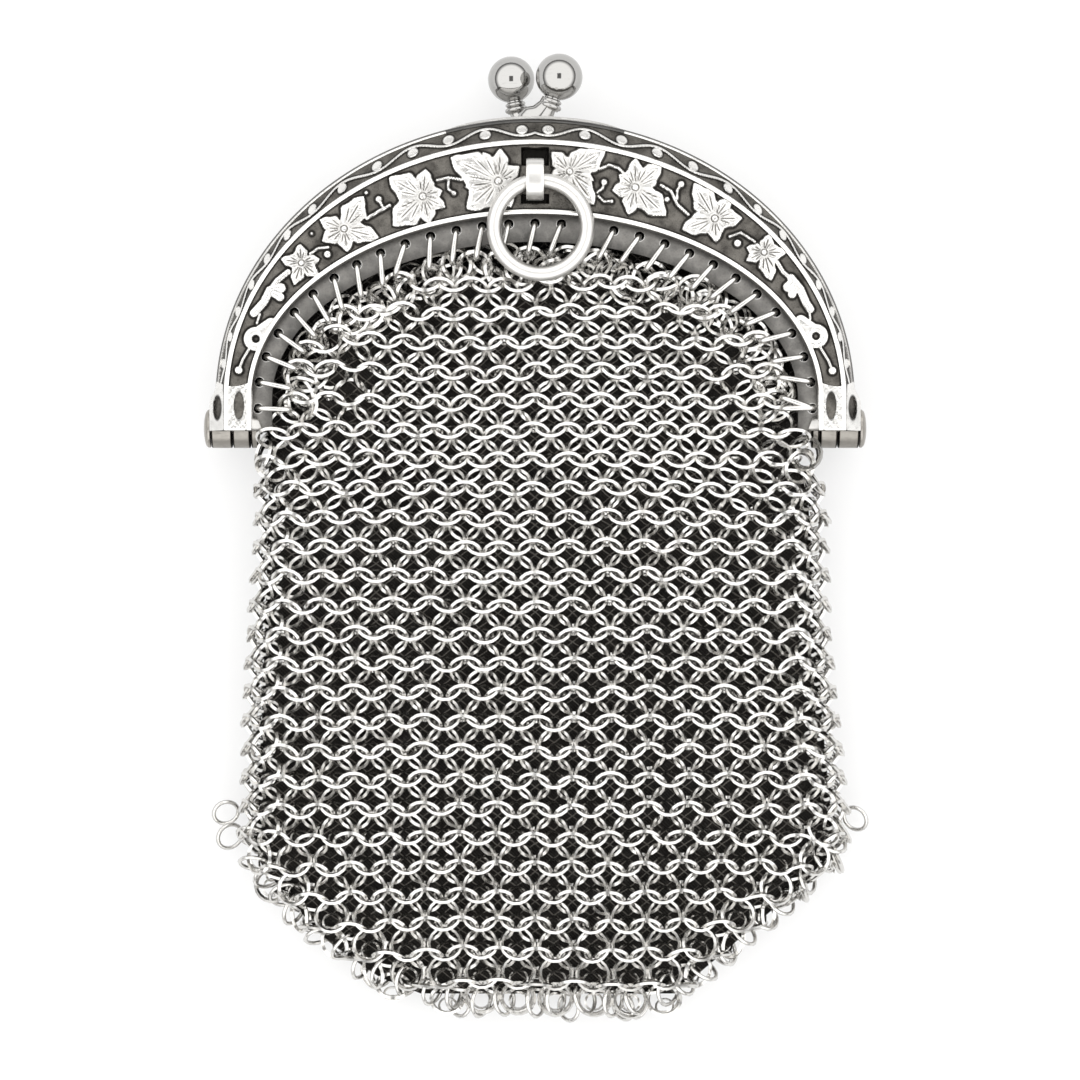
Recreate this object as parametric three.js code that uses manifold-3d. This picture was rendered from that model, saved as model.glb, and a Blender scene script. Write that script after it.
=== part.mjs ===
// A metal mesh purse lying on its back: hinged arch frame, kiss clasp, carrying ring and a ring mail bag.
// Millimetres. X runs to the right of the face, Y towards the clasp, +Z out of the face.
import * as THREE from "three";
import { mergeVertices } from "three/addons/utils/BufferGeometryUtils.js";
import Module from "manifold-3d";

const wasm = await Module();
wasm.setup();

// Frame, seen from the front. Each line of the arch is half an ellipse about the arch centre.
const ARCH_HALF_WIDTH = 31.9;
const ARCH_RISE = 28.05;
const ARCH_LEG = 3.1;
const BORDER_SIDE = 1.25;
const BORDER_TOP = 2.55;
const BAND_SIDE = 2.25;
const BAND_TOP = 6.9;
const STEP_TO_HOLES_SIDE = 0.8;
const STEP_TO_HOLES_TOP = 1.05;
const LIP_SIDE = 1.4;
const LIP_TOP = 1.85;
const ARCH_STATIONS = 24;

// Frame, through its depth.
const FRAME_DEPTH = 11.4;
const HALVES_GAP = 0.1;
const SHELL_WALL = 0.9;
const BORDER_FALL = 1.9;
const BACK_CHAMFER = 1.2;
const RIM_HALF_WIDTH = 0.28;
const RIM_HEIGHT = 0.25;
const FLANGE_THICKNESS = 0.7;
const FLANGE_INSET = 1.9;

// The row of hangers that carries the mail.
const HOLE_COUNT = 29;
const HOLE_DIAMETER = 0.85;
const HOLE_SIDES = 8;
const HOLE_START_DOWN = 0.9;
const HANGER_DIAMETER = 3.71;
const HANGER_WIRE = 0.37;
const HANGER_SIDES = 10;
const HANGER_WIRE_SIDES = 5;
const HANGER_BITE = 0.43;

// End plates and hinges.
const PLATE_WIDTH = 3.8;
const PLATE_BEVEL = 1.24;
const PLATE_FLARE = 0.55;
const PLATE_RAISE = 0.15;
const PLATE_UP = 1.8;
const PLATE_RECESS_WIDTH = 0.9;
const PLATE_RECESS_LENGTH = 2.6;
const PLATE_RECESS_DEPTH = 0.4;
const PLATE_RECESS_DOWN = 0.66;
const TOE_REACH = 0.95;
const TOE_UP = 1.3;
const TOE_THICKNESS = 1.6;
const KNUCKLE_DIAMETER = 3.9;
const KNUCKLE_DROP = 0.3;
const OUTER_KNUCKLE = 1.98;
const MIDDLE_KNUCKLE = 1.49;
const INNER_KNUCKLE = 0.64;
const KNUCKLE_GAP = 0.3;
const PIN_DIAMETER = 1.2;
const PIN_CLEARANCE = 0.1;
const PIN_TAIL = 0.35;
const CAP_DIAMETER = 3.84;
const CAP_THICKNESS = 0.72;
const CAP_GAP = 0.1;
const TURNED_SIDES = 12;

// Kiss clasp on a straight strip at the top.
const STRIP_LENGTH = 17.5;
const STRIP_PROUD = 0.15;
const STRIP_DEPTH = 3.4;
const BALL_DIAMETER = 4.7;
const BALL_GAP = 0.12;
const BALL_RISE = 4.2;
const KNOB_OFFSET = 1.35;
const COLLAR_DIAMETER = 2.3;
const COLLAR_HEIGHT = 1.05;
const STEM_DIAMETER = 1.7;
const FOOT_DIAMETER = 2.5;
const FOOT_HEIGHT = 0.4;
const FOOT_SEAT_GAP = 0.05;
const PEG_DIAMETER = 1.1;
const PEG_LENGTH = 1.6;
const PEG_CLEARANCE = 0.08;
const LEFT_FOOT_LEAN = 0.72;
const RIGHT_FOOT_LEAN = 1.3;

// Bail and carrying ring.
const BAIL_WIDTH = 1.76;
const BAIL_STRAP = 0.5;
const BAIL_BELOW_RIM = 1.6;
const BAIL_SPAN = 4.3;
const BAIL_CLEARANCE = 0.45;
const BAIL_UNDER_GAP = 0.25;
const RING_DROP_IN_BAIL = 0.15;
const SLOT_SIDE_CLEARANCE = 0.45;
const SLOT_TOP_CLEARANCE = 1.2;
const SLOT_LOW_CLEARANCE = 0.2;
const RING_DIAMETER = 10.7;
const RING_WIRE = 1.47;
const RING_SHIFT = 0.55;
const RING_LIFT = 0.47;
const RING_SIDES = 16;
const RING_WIRE_SIDES = 8;

// Mail bag and its lining.
const MAIL_THICKNESS = 1.9;
const BAG_HALF_WIDTH = 30.8;
const BAG_SHIFT = 0.9;
const BAG_DROP = 61.8;
const BAG_NOSE = 4;
const HEM_HEIGHT = 4.15;
const FLOOR_CLEARANCE = 0.1;
const SEAM_GAP = 0.15;
const LINING_WALL = 1;
const LINING_GAP = 0.15;
const LINING_SIDE_GAP = 0.9;
const LINING_BELOW_HANGERS = 0.3;
const LINING_SEAM_HALF = 0.05;
const MOUTH_CUT = 6;

// Cast ornament.
const RELIEF_HEIGHT = 0.34;
const RELIEF_SUNK = 0.3;
const RELIEF_TOP_SHARE = 0.72;

// Sizes that follow from the named ones.
const faceZ = FRAME_DEPTH;
const middleZ = FRAME_DEPTH / 2;
const frontFlangeZ = faceZ - FLANGE_INSET;
const backFlangeZ = HANGER_DIAMETER / 2 + FLOOR_CLEARANCE;
const line = (side, top) => ({ a: ARCH_HALF_WIDTH - side, b: ARCH_RISE - top });
const outerLine = line(0, 0);
const borderLine = line(BORDER_SIDE, BORDER_TOP);
const bandLine = line(BORDER_SIDE + BAND_SIDE, BORDER_TOP + BAND_TOP);
const holeLine = inset(bandLine, STEP_TO_HOLES_SIDE, STEP_TO_HOLES_TOP);
const lipLine = inset(holeLine, LIP_SIDE, LIP_TOP);
const hangerRadius = (HANGER_DIAMETER - HANGER_WIRE) / 2;
const hangerReach = HANGER_DIAMETER - HANGER_WIRE / 2;
const mailLine = inset(holeLine, hangerReach - HANGER_BITE, hangerReach - HANGER_BITE);
const liningTopInset = hangerReach + LINING_BELOW_HANGERS;
const liningLine = inset(holeLine, liningTopInset, liningTopInset);
const mailTopZ = frontFlangeZ + MAIL_THICKNESS / 2;
const hingeY = -ARCH_LEG + KNUCKLE_DROP;
const knuckleOuterX = ARCH_HALF_WIDTH + PLATE_FLARE;
const plateInner = ARCH_HALF_WIDTH - PLATE_WIDTH;
const plateOuterEdge = ARCH_HALF_WIDTH - PLATE_BEVEL;

function inset(from, side, top) {
  return { a: from.a - side, b: from.b - top };
}

// Helpers that turn three.js geometry into solids and back.
function solid(geometry) {
  geometry.deleteAttribute("normal");
  geometry.deleteAttribute("uv");
  const merged = mergeVertices(geometry, 1e-4);
  return new wasm.Manifold(
    new wasm.Mesh({
      numProp: 3,
      vertProperties: new Float32Array(merged.attributes.position.array),
      triVerts: new Uint32Array(merged.index.array),
    }),
  );
}

function geometryOf(body) {
  const mesh = body.getMesh();
  const count = mesh.vertProperties.length / mesh.numProp;
  const positions = new Float32Array(count * 3);
  for (let i = 0; i < count; i++) {
    positions.set(mesh.vertProperties.subarray(i * mesh.numProp, i * mesh.numProp + 3), i * 3);
  }
  const geometry = new THREE.BufferGeometry();
  geometry.setAttribute("position", new THREE.BufferAttribute(positions, 3));
  geometry.setIndex(new THREE.BufferAttribute(new Uint32Array(mesh.triVerts), 1));
  geometry.computeVertexNormals();
  return geometry;
}

// A closed loft through rings of points. capAxes names the two axes in which both end caps are flat.
function loft(rings, capAxes) {
  const n = rings[0].length;
  const positions = rings.flat(2);
  const index = [];
  for (let r = 0; r + 1 < rings.length; r++) {
    for (let i = 0; i < n; i++) {
      const a = r * n + i;
      const b = r * n + ((i + 1) % n);
      index.push(a, b, b + n, a, b + n, a + n);
    }
  }
  const flat = (ring) => ring.map((p) => new THREE.Vector2(p[capAxes[0]], p[capAxes[1]]));
  const last = (rings.length - 1) * n;
  for (const [a, b, c] of triangulated(flat(rings[0]))) {
    index.push(a, c, b);
  }
  for (const [a, b, c] of triangulated(flat(rings.at(-1)))) {
    index.push(last + a, last + b, last + c);
  }
  const geometry = new THREE.BufferGeometry();
  geometry.setAttribute("position", new THREE.Float32BufferAttribute(positions, 3));
  geometry.setIndex(index);
  return outward(solid(geometry));
}

// Cap triangles that keep the direction in which the ring runs.
function triangulated(points) {
  const runsBack = THREE.ShapeUtils.isClockWise(points);
  const faces = THREE.ShapeUtils.triangulateShape(points, []);
  return faces.map(([a, b, c]) => {
    const p = [points[a], points[b], points[c]];
    return THREE.ShapeUtils.isClockWise(p) === runsBack ? [a, b, c] : [a, c, b];
  });
}

// Turns a body the right way out when its rings ran the other way.
function outward(body) {
  if (body.volume() > 0) {
    return body;
  }
  const mesh = body.getMesh();
  const turned = new Uint32Array(mesh.triVerts);
  for (let i = 0; i < turned.length; i += 3) {
    [turned[i + 1], turned[i + 2]] = [turned[i + 2], turned[i + 1]];
  }
  return new wasm.Manifold(
    new wasm.Mesh({ numProp: 3, vertProperties: mesh.vertProperties, triVerts: turned }),
  );
}

function box(x0, x1, y0, y1, z0, z1) {
  const geometry = new THREE.BoxGeometry(x1 - x0, y1 - y0, z1 - z0);
  geometry.translate((x0 + x1) / 2, (y0 + y1) / 2, (z0 + z1) / 2);
  return solid(geometry);
}

// A cylinder along X from x0 to x1.
function rodX(diameter, x0, x1, y, z, sides) {
  const geometry = new THREE.CylinderGeometry(diameter / 2, diameter / 2, x1 - x0, sides);
  geometry.rotateZ(Math.PI / 2);
  geometry.translate((x0 + x1) / 2, y, z);
  return solid(geometry);
}

// A shape in the XY plane, raised from z0 to z1, its top drawn in to the given share.
function boss(points, z0, z1, topShare) {
  const low = points.map(([x, y]) => [x, y, z0]);
  const cx = points.reduce((s, p) => s + p[0], 0) / points.length;
  const cy = points.reduce((s, p) => s + p[1], 0) / points.length;
  const high = points.map(([x, y]) => [cx + (x - cx) * topShare, cy + (y - cy) * topShare, z1]);
  return loft([low, high], [0, 1]);
}

const union = (bodies) => bodies.reduce((a, b) => a.add(b));

// The arch: the share along it runs from the right leg's foot, over the top, to the left leg's foot.
function archRings(section) {
  const rings = [];
  const place = (angle, drop) =>
    section.map(({ a, b, z }) => [a * Math.cos(angle), b * Math.sin(angle) - drop, z]);
  rings.push(place(0, ARCH_LEG));
  for (let i = 0; i <= ARCH_STATIONS; i++) {
    rings.push(place((Math.PI * i) / ARCH_STATIONS, 0));
  }
  rings.push(place(Math.PI, ARCH_LEG));
  return rings;
}

// Section of the front half: outer wall, sloped border, rim, band, rim, step and flange, then the hollow inside.
function frontSection() {
  const at = (from, by, z) => ({ a: from.a + by, b: from.b + by, z });
  const low = middleZ + HALVES_GAP / 2;
  const wallTop = faceZ - BORDER_FALL;
  const rimTop = faceZ + RIM_HEIGHT;
  const flangeTop = frontFlangeZ + FLANGE_THICKNESS / 2;
  const flangeLow = frontFlangeZ - FLANGE_THICKNESS / 2;
  const innerRoof = faceZ - SHELL_WALL;
  return [
    at(outerLine, 0, low),
    at(outerLine, 0, wallTop),
    at(borderLine, RIM_HALF_WIDTH, faceZ),
    at(borderLine, 0, rimTop),
    at(borderLine, -RIM_HALF_WIDTH, faceZ),
    at(bandLine, RIM_HALF_WIDTH, faceZ),
    at(bandLine, 0, rimTop),
    at(bandLine, -RIM_HALF_WIDTH, flangeTop),
    at(lipLine, 0, flangeTop),
    at(lipLine, 0, flangeLow),
    at(bandLine, SHELL_WALL / 2, flangeLow),
    at(bandLine, SHELL_WALL / 2, innerRoof),
    at(borderLine, 0, innerRoof),
    at(outerLine, -SHELL_WALL, wallTop - SHELL_WALL / 3),
    at(outerLine, -SHELL_WALL, low),
  ];
}

// Section of the back half: the same lines, plain, with a flat back.
function backSection() {
  const at = (from, by, z) => ({ a: from.a + by, b: from.b + by, z });
  const high = middleZ - HALVES_GAP / 2;
  const flangeTop = backFlangeZ + FLANGE_THICKNESS / 2;
  const flangeLow = backFlangeZ - FLANGE_THICKNESS / 2;
  return [
    at(outerLine, 0, high),
    at(outerLine, 0, BACK_CHAMFER),
    at(outerLine, -BACK_CHAMFER, 0),
    at(bandLine, -RIM_HALF_WIDTH, 0),
    at(bandLine, -RIM_HALF_WIDTH, flangeLow),
    at(lipLine, 0, flangeLow),
    at(lipLine, 0, flangeTop),
    at(bandLine, SHELL_WALL / 2, flangeTop),
    at(bandLine, SHELL_WALL / 2, SHELL_WALL),
    at(outerLine, -SHELL_WALL - BACK_CHAMFER / 2, SHELL_WALL),
    at(outerLine, -SHELL_WALL, BACK_CHAMFER + SHELL_WALL / 3),
    at(outerLine, -SHELL_WALL, high),
  ];
}

// Holes evenly along the hole line, from the foot of one leg round to the other.
function holePlaces() {
  const { a, b } = holeLine;
  const steps = 400;
  const path = [];
  for (let i = 0; i <= steps; i++) {
    const t = (Math.PI * i) / steps;
    path.push([a * Math.cos(t), b * Math.sin(t), -Math.cos(t) / a, -Math.sin(t) / b]);
  }
  path.unshift([a, -HOLE_START_DOWN, -1, 0]);
  path.push([-a, -HOLE_START_DOWN, 1, 0]);
  const lengths = [0];
  for (let i = 1; i < path.length; i++) {
    const d = Math.hypot(path[i][0] - path[i - 1][0], path[i][1] - path[i - 1][1]);
    lengths.push(lengths[i - 1] + d);
  }
  const places = [];
  for (let k = 0; k < HOLE_COUNT; k++) {
    const goal = (lengths.at(-1) * k) / (HOLE_COUNT - 1);
    const i = Math.max(1, lengths.findIndex((s) => s >= goal - 1e-9));
    const share = (goal - lengths[i - 1]) / (lengths[i] - lengths[i - 1]);
    const mix = path[i].map((v, j) => path[i - 1][j] + (v - path[i - 1][j]) * share);
    const size = Math.hypot(mix[2], mix[3]);
    places.push({ x: mix[0], y: mix[1], ux: mix[2] / size, uy: mix[3] / size });
  }
  return places;
}

function flangeHoles(z) {
  return union(
    holePlaces().map(({ x, y }) => {
      const radius = HOLE_DIAMETER / 2;
      const geometry = new THREE.CylinderGeometry(radius, radius, 2 * FLANGE_THICKNESS, HOLE_SIDES);
      geometry.rotateX(Math.PI / 2);
      geometry.translate(x, y, z);
      return solid(geometry);
    }),
  );
}

// Edge-on rings through the flange holes, reaching inwards to the mail.
function hangers(z) {
  return holePlaces().map(({ x, y, ux, uy }) => {
    const geometry = new THREE.TorusGeometry(
      hangerRadius,
      HANGER_WIRE / 2,
      HANGER_WIRE_SIDES,
      HANGER_SIDES,
    );
    geometry.rotateX(Math.PI / 2);
    geometry.rotateZ(Math.atan2(uy, ux));
    geometry.translate(x + ux * hangerRadius, y + uy * hangerRadius, z);
    return outward(solid(geometry));
  });
}

// The block at one foot of the arch, with the border's slope, and its toe. side is 1 at the right, -1 at the left.
function endBlock(side, front) {
  const z0 = front ? middleZ + HALVES_GAP / 2 : 0;
  const z1 = front ? faceZ + PLATE_RAISE : middleZ - HALVES_GAP / 2;
  const outline = front
    ? [
        [plateInner, z0],
        [knuckleOuterX, z0],
        [knuckleOuterX, faceZ - BORDER_FALL],
        [plateOuterEdge, z1],
        [plateInner, z1],
      ]
    : [
        [plateInner, z1],
        [plateInner, 0],
        [knuckleOuterX - BACK_CHAMFER, 0],
        [knuckleOuterX, BACK_CHAMFER],
        [knuckleOuterX, z1],
      ];
  const ring = (y, outer) => outline.map(([x, z]) => [side * Math.min(x, outer), y, z]);
  const foot = ring(-ARCH_LEG, knuckleOuterX);
  const shoulder = ring(0, knuckleOuterX);
  const head = ring(PLATE_UP, ARCH_HALF_WIDTH);
  return loft([foot, shoulder, head], [0, 2]);
}

function toe(side) {
  const inner = side * (plateInner - TOE_REACH);
  const outer = side * (plateInner + RIM_HALF_WIDTH);
  return box(
    Math.min(inner, outer),
    Math.max(inner, outer),
    -ARCH_LEG,
    -ARCH_LEG + TOE_UP,
    faceZ - TOE_THICKNESS,
    faceZ,
  );
}

// The oval recess in each end plate.
function plateRecess(side) {
  const geometry = new THREE.CylinderGeometry(1, 1, 2 * PLATE_RECESS_DEPTH, HOLE_SIDES);
  geometry.rotateX(Math.PI / 2);
  geometry.scale(PLATE_RECESS_WIDTH / 2, PLATE_RECESS_LENGTH / 2, 1);
  geometry.translate((side * (plateInner + plateOuterEdge)) / 2, -PLATE_RECESS_DOWN, faceZ + PLATE_RAISE);
  return solid(geometry);
}

// Where the knuckles stand, outwards from the arch's middle, in the order outer, middle, inner.
function knuckleSpans() {
  const outer1 = knuckleOuterX;
  const outer0 = outer1 - OUTER_KNUCKLE;
  const middle1 = outer0 - KNUCKLE_GAP;
  const middle0 = middle1 - MIDDLE_KNUCKLE;
  const inner1 = middle0 - KNUCKLE_GAP;
  const inner0 = inner1 - INNER_KNUCKLE;
  return { outer: [outer0, outer1], middle: [middle0, middle1], inner: [inner0, inner1] };
}

function knuckle(side, [x0, x1], grow) {
  const a = side * (x0 - grow);
  const b = side * (x1 + grow);
  return rodX(
    KNUCKLE_DIAMETER + 2 * grow,
    Math.min(a, b),
    Math.max(a, b),
    hingeY,
    middleZ,
    TURNED_SIDES,
  );
}

function pinBore(side) {
  const a = side * (knuckleSpans().inner[0] - 1);
  const b = side * (knuckleOuterX + 1);
  return rodX(
    PIN_DIAMETER + 2 * PIN_CLEARANCE,
    Math.min(a, b),
    Math.max(a, b),
    hingeY,
    middleZ,
    TURNED_SIDES,
  );
}

// Adds both hinges to one half: its own knuckles, room for the other half's, and the pin's bore.
function withHinges(body, front) {
  let result = body;
  const spans = knuckleSpans();
  const own = front ? [spans.outer, spans.inner] : [spans.middle];
  const other = front ? [spans.middle] : [spans.outer, spans.inner];
  for (const side of [-1, 1]) {
    result = result.add(endBlock(side, front));
    for (const span of other) {
      result = result.subtract(knuckle(side, span, KNUCKLE_GAP * 0.999));
    }
    for (const span of own) {
      result = result.add(knuckle(side, span, 0));
    }
    result = result.subtract(pinBore(side));
  }
  return result;
}

function hingePin(side) {
  const { inner } = knuckleSpans();
  const tail = inner[0] - PIN_TAIL;
  const capIn = knuckleOuterX + CAP_GAP;
  const capOut = capIn + CAP_THICKNESS;
  const profile = [
    [0, tail],
    [PIN_DIAMETER / 2, tail],
    [PIN_DIAMETER / 2, capIn],
    [CAP_DIAMETER / 2, capIn],
    [CAP_DIAMETER / 2, capIn + CAP_THICKNESS * 0.35],
    [CAP_DIAMETER * 0.36, capIn + CAP_THICKNESS * 0.82],
    [0, capOut],
  ];
  const points = profile.map(([r, h]) => new THREE.Vector2(r, h));
  const geometry = new THREE.LatheGeometry(points, TURNED_SIDES);
  geometry.rotateZ(-side * Math.PI / 2);
  geometry.translate(0, hingeY, middleZ);
  return outward(solid(geometry));
}

// Ornament on the band: where each cast piece stands from the arch centre, and how big it is.
const ORNAMENT = [
  { kind: "scroll", x: -27.8, y: 5.8, wide: 2.2, tall: 3.4, turn: 20 },
  { kind: "leaf", x: -26.2, y: 10.6, wide: 3.2, tall: 4.2, turn: -35 },
  { kind: "flower", x: -23.2, y: 13.5, wide: 4.2, tall: 4.2, turn: 10 },
  { kind: "flower", x: -19.0, y: 16.9, wide: 6.0, tall: 5.6, turn: 40 },
  { kind: "flower", x: -11.2, y: 20.1, wide: 5.6, tall: 5.6, turn: 0 },
  { kind: "ivy", x: -3.9, y: 21.6, wide: 5.2, tall: 5.4, turn: 20 },
  { kind: "ivy", x: 4.1, y: 22.1, wide: 4.8, tall: 5.0, turn: -20 },
  { kind: "flower", x: 9.95, y: 20.6, wide: 5.6, tall: 5.6, turn: 15 },
  { kind: "flower", x: 17.8, y: 17.6, wide: 5.8, tall: 5.8, turn: -20 },
  { kind: "flower", x: 22.7, y: 14.2, wide: 4.4, tall: 4.4, turn: 30 },
  { kind: "leaf", x: 25.8, y: 11.1, wide: 3.2, tall: 4.2, turn: 35 },
  { kind: "scroll", x: 27.9, y: 6.1, wide: 2.2, tall: 3.4, turn: -20 },
];

// Outline shares for each kind, out from its middle, evenly spaced in angle from the top.
const OUTLINES = {
  flower: [0.66, 1, 0.66, 1, 0.66, 1, 0.66, 1, 0.66, 1],
  ivy: [1, 0.6, 0.95, 0.62, 0.8, 0.62, 0.95, 0.6],
  leaf: [1, 0.8, 0.62, 0.72, 1, 0.72, 0.62, 0.8],
  scroll: [1, 0.8, 0.6, 0.7, 1, 0.85, 0.7, 0.8],
};

// How far the arch lines are from their drawn widths, so that the ornament keeps its place on the band.
function ornament() {
  const drawnBand = { a: 29.53, b: 22.05 };
  const middle = {
    a: (borderLine.a + bandLine.a) / 2,
    b: (borderLine.b + bandLine.b) / 2,
  };
  return ORNAMENT.map(({ kind, x, y, wide, tall, turn }) => {
    const cx = (x * middle.a) / drawnBand.a;
    const cy = (y * middle.b) / drawnBand.b;
    const shares = OUTLINES[kind];
    const angle = (turn * Math.PI) / 180;
    const points = shares.map((share, i) => {
      const t = Math.PI / 2 + (2 * Math.PI * i) / shares.length;
      const px = (share * wide * Math.cos(t)) / 2;
      const py = (share * tall * Math.sin(t)) / 2;
      const across = px * Math.cos(angle) - py * Math.sin(angle);
      const up = px * Math.sin(angle) + py * Math.cos(angle);
      return [cx + across, cy + up];
    });
    return boss(points, faceZ - RELIEF_SUNK, faceZ + RELIEF_HEIGHT, RELIEF_TOP_SHARE);
  });
}

// The strip under the clasp, on one half.
function strip(front) {
  const top = ARCH_RISE + STRIP_PROUD;
  const low = ARCH_RISE - SHELL_WALL * 1.6;
  const near = HALVES_GAP / 2;
  const half = STRIP_LENGTH / 2;
  return front
    ? box(-half, half, low, top, middleZ + near, middleZ + STRIP_DEPTH)
    : box(-half, half, low, top, middleZ - STRIP_DEPTH, middleZ - near);
}

// Each knob: which half it stands on, where its ball is and how far its foot is from under the ball.
const KNOBS = {
  left: { ballX: -(BALL_DIAMETER + BALL_GAP) / 2, footShift: LEFT_FOOT_LEAN, z: middleZ - KNOB_OFFSET },
  right: { ballX: (BALL_DIAMETER + BALL_GAP) / 2, footShift: -RIGHT_FOOT_LEAN, z: middleZ + KNOB_OFFSET },
};

function turnedOnKnob(profile, { ballX, footShift, z }) {
  const points = profile.map(([r, h]) => new THREE.Vector2(r, h));
  const geometry = new THREE.LatheGeometry(points, TURNED_SIDES);
  geometry.rotateZ(Math.atan2(footShift, BALL_RISE));
  geometry.translate(ballX + footShift, ARCH_RISE + STRIP_PROUD, z);
  return outward(solid(geometry));
}

function knob(which) {
  const place = KNOBS[which];
  const r = BALL_DIAMETER / 2;
  const centre = Math.hypot(BALL_RISE, place.footShift);
  const collar = COLLAR_DIAMETER / 2;
  const neck = centre - Math.sqrt(r * r - 0.49 * collar * collar);
  const lean = Math.abs(Math.sin(Math.atan2(place.footShift, BALL_RISE)));
  const seat = FOOT_SEAT_GAP + (lean * FOOT_DIAMETER) / 2;
  const profile = [
    [0, -PEG_LENGTH],
    [PEG_DIAMETER / 2, -PEG_LENGTH],
    [PEG_DIAMETER / 2, seat],
    [FOOT_DIAMETER / 2, seat],
    [FOOT_DIAMETER / 2, seat + FOOT_HEIGHT],
    [STEM_DIAMETER / 2, seat + FOOT_HEIGHT],
    [STEM_DIAMETER / 2, neck - COLLAR_HEIGHT],
    [collar, neck - COLLAR_HEIGHT * 0.8],
    [collar, neck - COLLAR_HEIGHT * 0.2],
    [collar * 0.7, neck],
  ];
  const first = Math.asin((0.7 * collar) / r);
  const bands = 5;
  for (let i = 1; i < bands; i++) {
    const t = first + ((Math.PI - first) * i) / bands;
    profile.push([r * Math.sin(t), centre - r * Math.cos(t)]);
  }
  profile.push([0, centre + r]);
  return turnedOnKnob(profile, place);
}

function pegHole(which) {
  const r = PEG_DIAMETER / 2 + PEG_CLEARANCE;
  const profile = [
    [0, -4],
    [r, -4],
    [r, 1],
    [0, 1],
  ];
  return turnedOnKnob(profile, KNOBS[which]);
}

// Bail: a flat strap bent to a closed loop through the two slots of the band.
const bailTopY = borderLine.b - BAIL_BELOW_RIM;
const bailLowY = bailTopY - BAIL_SPAN;
const ringZ = faceZ + RING_LIFT + RING_WIRE / 2;
const bailInnerTop = ringZ + RING_WIRE / 2 + BAIL_CLEARANCE;
const bailInnerLow = faceZ - SHELL_WALL - BAIL_UNDER_GAP;
const ringTopY = (bailTopY + bailLowY) / 2 - RING_DROP_IN_BAIL;

function bail() {
  const outline = (grow) => {
    const y0 = bailLowY + BAIL_STRAP - grow;
    const y1 = bailTopY - BAIL_STRAP + grow;
    const z0 = bailInnerLow - grow;
    const z1 = bailInnerTop + grow;
    const c = 0.7 + grow / 2;
    return [
      [y0, z0],
      [y1, z0],
      [y1, z1 - c],
      [y1 - c * 0.35, z1 - c * 0.3],
      [y1 - c, z1],
      [y0 + c, z1],
      [y0 + c * 0.35, z1 - c * 0.3],
      [y0, z1 - c],
    ];
  };
  const along = (points, half) => [
    points.map(([y, z]) => [-half, y, z]),
    points.map(([y, z]) => [half, y, z]),
  ];
  const outer = loft(along(outline(BAIL_STRAP), BAIL_WIDTH / 2), [1, 2]);
  const inner = loft(along(outline(0), BAIL_WIDTH), [1, 2]);
  return outer.subtract(inner);
}

function bailSlots() {
  const half = BAIL_WIDTH / 2 + SLOT_SIDE_CLEARANCE;
  const z0 = faceZ - SHELL_WALL - 1;
  const top = box(
    -half,
    half,
    bailTopY - BAIL_STRAP - SLOT_LOW_CLEARANCE,
    bailTopY - BAIL_STRAP - SLOT_LOW_CLEARANCE + BAIL_STRAP + SLOT_TOP_CLEARANCE,
    z0,
    faceZ + 1,
  );
  const low = box(
    -half,
    half,
    bailLowY - SLOT_LOW_CLEARANCE,
    bailLowY + BAIL_STRAP + SLOT_LOW_CLEARANCE,
    z0,
    faceZ + 1,
  );
  return top.add(low);
}

function carryingRing() {
  const radius = (RING_DIAMETER - RING_WIRE) / 2;
  const geometry = new THREE.TorusGeometry(radius, RING_WIRE / 2, RING_WIRE_SIDES, RING_SIDES);
  geometry.rotateZ(Math.PI / RING_SIDES);
  geometry.translate(RING_SHIFT, ringTopY - radius, ringZ);
  return outward(solid(geometry));
}

// The bag below the arch. down is a share of BAG_DROP from the arch centre; left and right are shares of
// BAG_HALF_WIDTH; high is the share of the way from the hem's height up to the mail's height at the frame;
// closed says how far the side edges are drawn together, from 0 at the frame to 1.
const BAG = [
  { down: 0.06, left: 0.89, right: 0.9, high: 1, closed: 0 },
  { down: 0.11, left: 0.94, right: 0.905, high: 1, closed: 0.5 },
  { down: 0.18, left: 0.955, right: 0.92, high: 1, closed: 1 },
  { down: 0.34, left: 0.965, right: 0.94, high: 1, closed: 1 },
  { down: 0.55, left: 0.98, right: 0.97, high: 0.92, closed: 1 },
  { down: 0.7, left: 1.0, right: 1.0, high: 0.8, closed: 1 },
  { down: 0.75, left: 0.99, right: 0.98, high: 0.73, closed: 1 },
  { down: 0.8, left: 0.91, right: 0.87, high: 0.65, closed: 1 },
  { down: 0.88, left: 0.77, right: 0.69, high: 0.53, closed: 1 },
  { down: 0.94, left: 0.6, right: 0.55, high: 0.42, closed: 1 },
  { down: 0.97, left: 0.45, right: 0.48, high: 0.34, closed: 1 },
  { down: 1.0, left: 0.22, right: 0.3, high: 0, closed: 1 },
];
const ARCH_PART = [84, 68, 48, 28, 8];
const LINING_ROWS = 11;
const HOLLOW_ROWS = 10;

// The stations of a bag layer whose top edge follows the given arch line.
function bagStations(top, rows) {
  const stations = ARCH_PART.map((degrees) => {
    const t = (degrees * Math.PI) / 180;
    const half = top.a * Math.cos(t);
    return { y: top.b * Math.sin(t), left: half, right: half, height: mailTopZ, closed: 0 };
  });
  for (const row of rows) {
    const shift = BAG_SHIFT * Math.min(1, row.down / BAG[2].down);
    const half = (share, by) => (row.closed === 0 ? top.a : share * BAG_HALF_WIDTH + by);
    stations.push({
      y: -row.down * BAG_DROP,
      left: half(row.left, -shift),
      right: half(row.right, shift),
      height: HEM_HEIGHT + (mailTopZ - HEM_HEIGHT) * row.high,
      closed: row.closed,
    });
  }
  return stations;
}

// How the side edge rounds over: shares of the nose's width and of its height.
const NOSE = [
  { across: 0, up: 0 },
  { across: 0.22, up: 0.74 },
  { across: 1, up: 1 },
];

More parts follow.
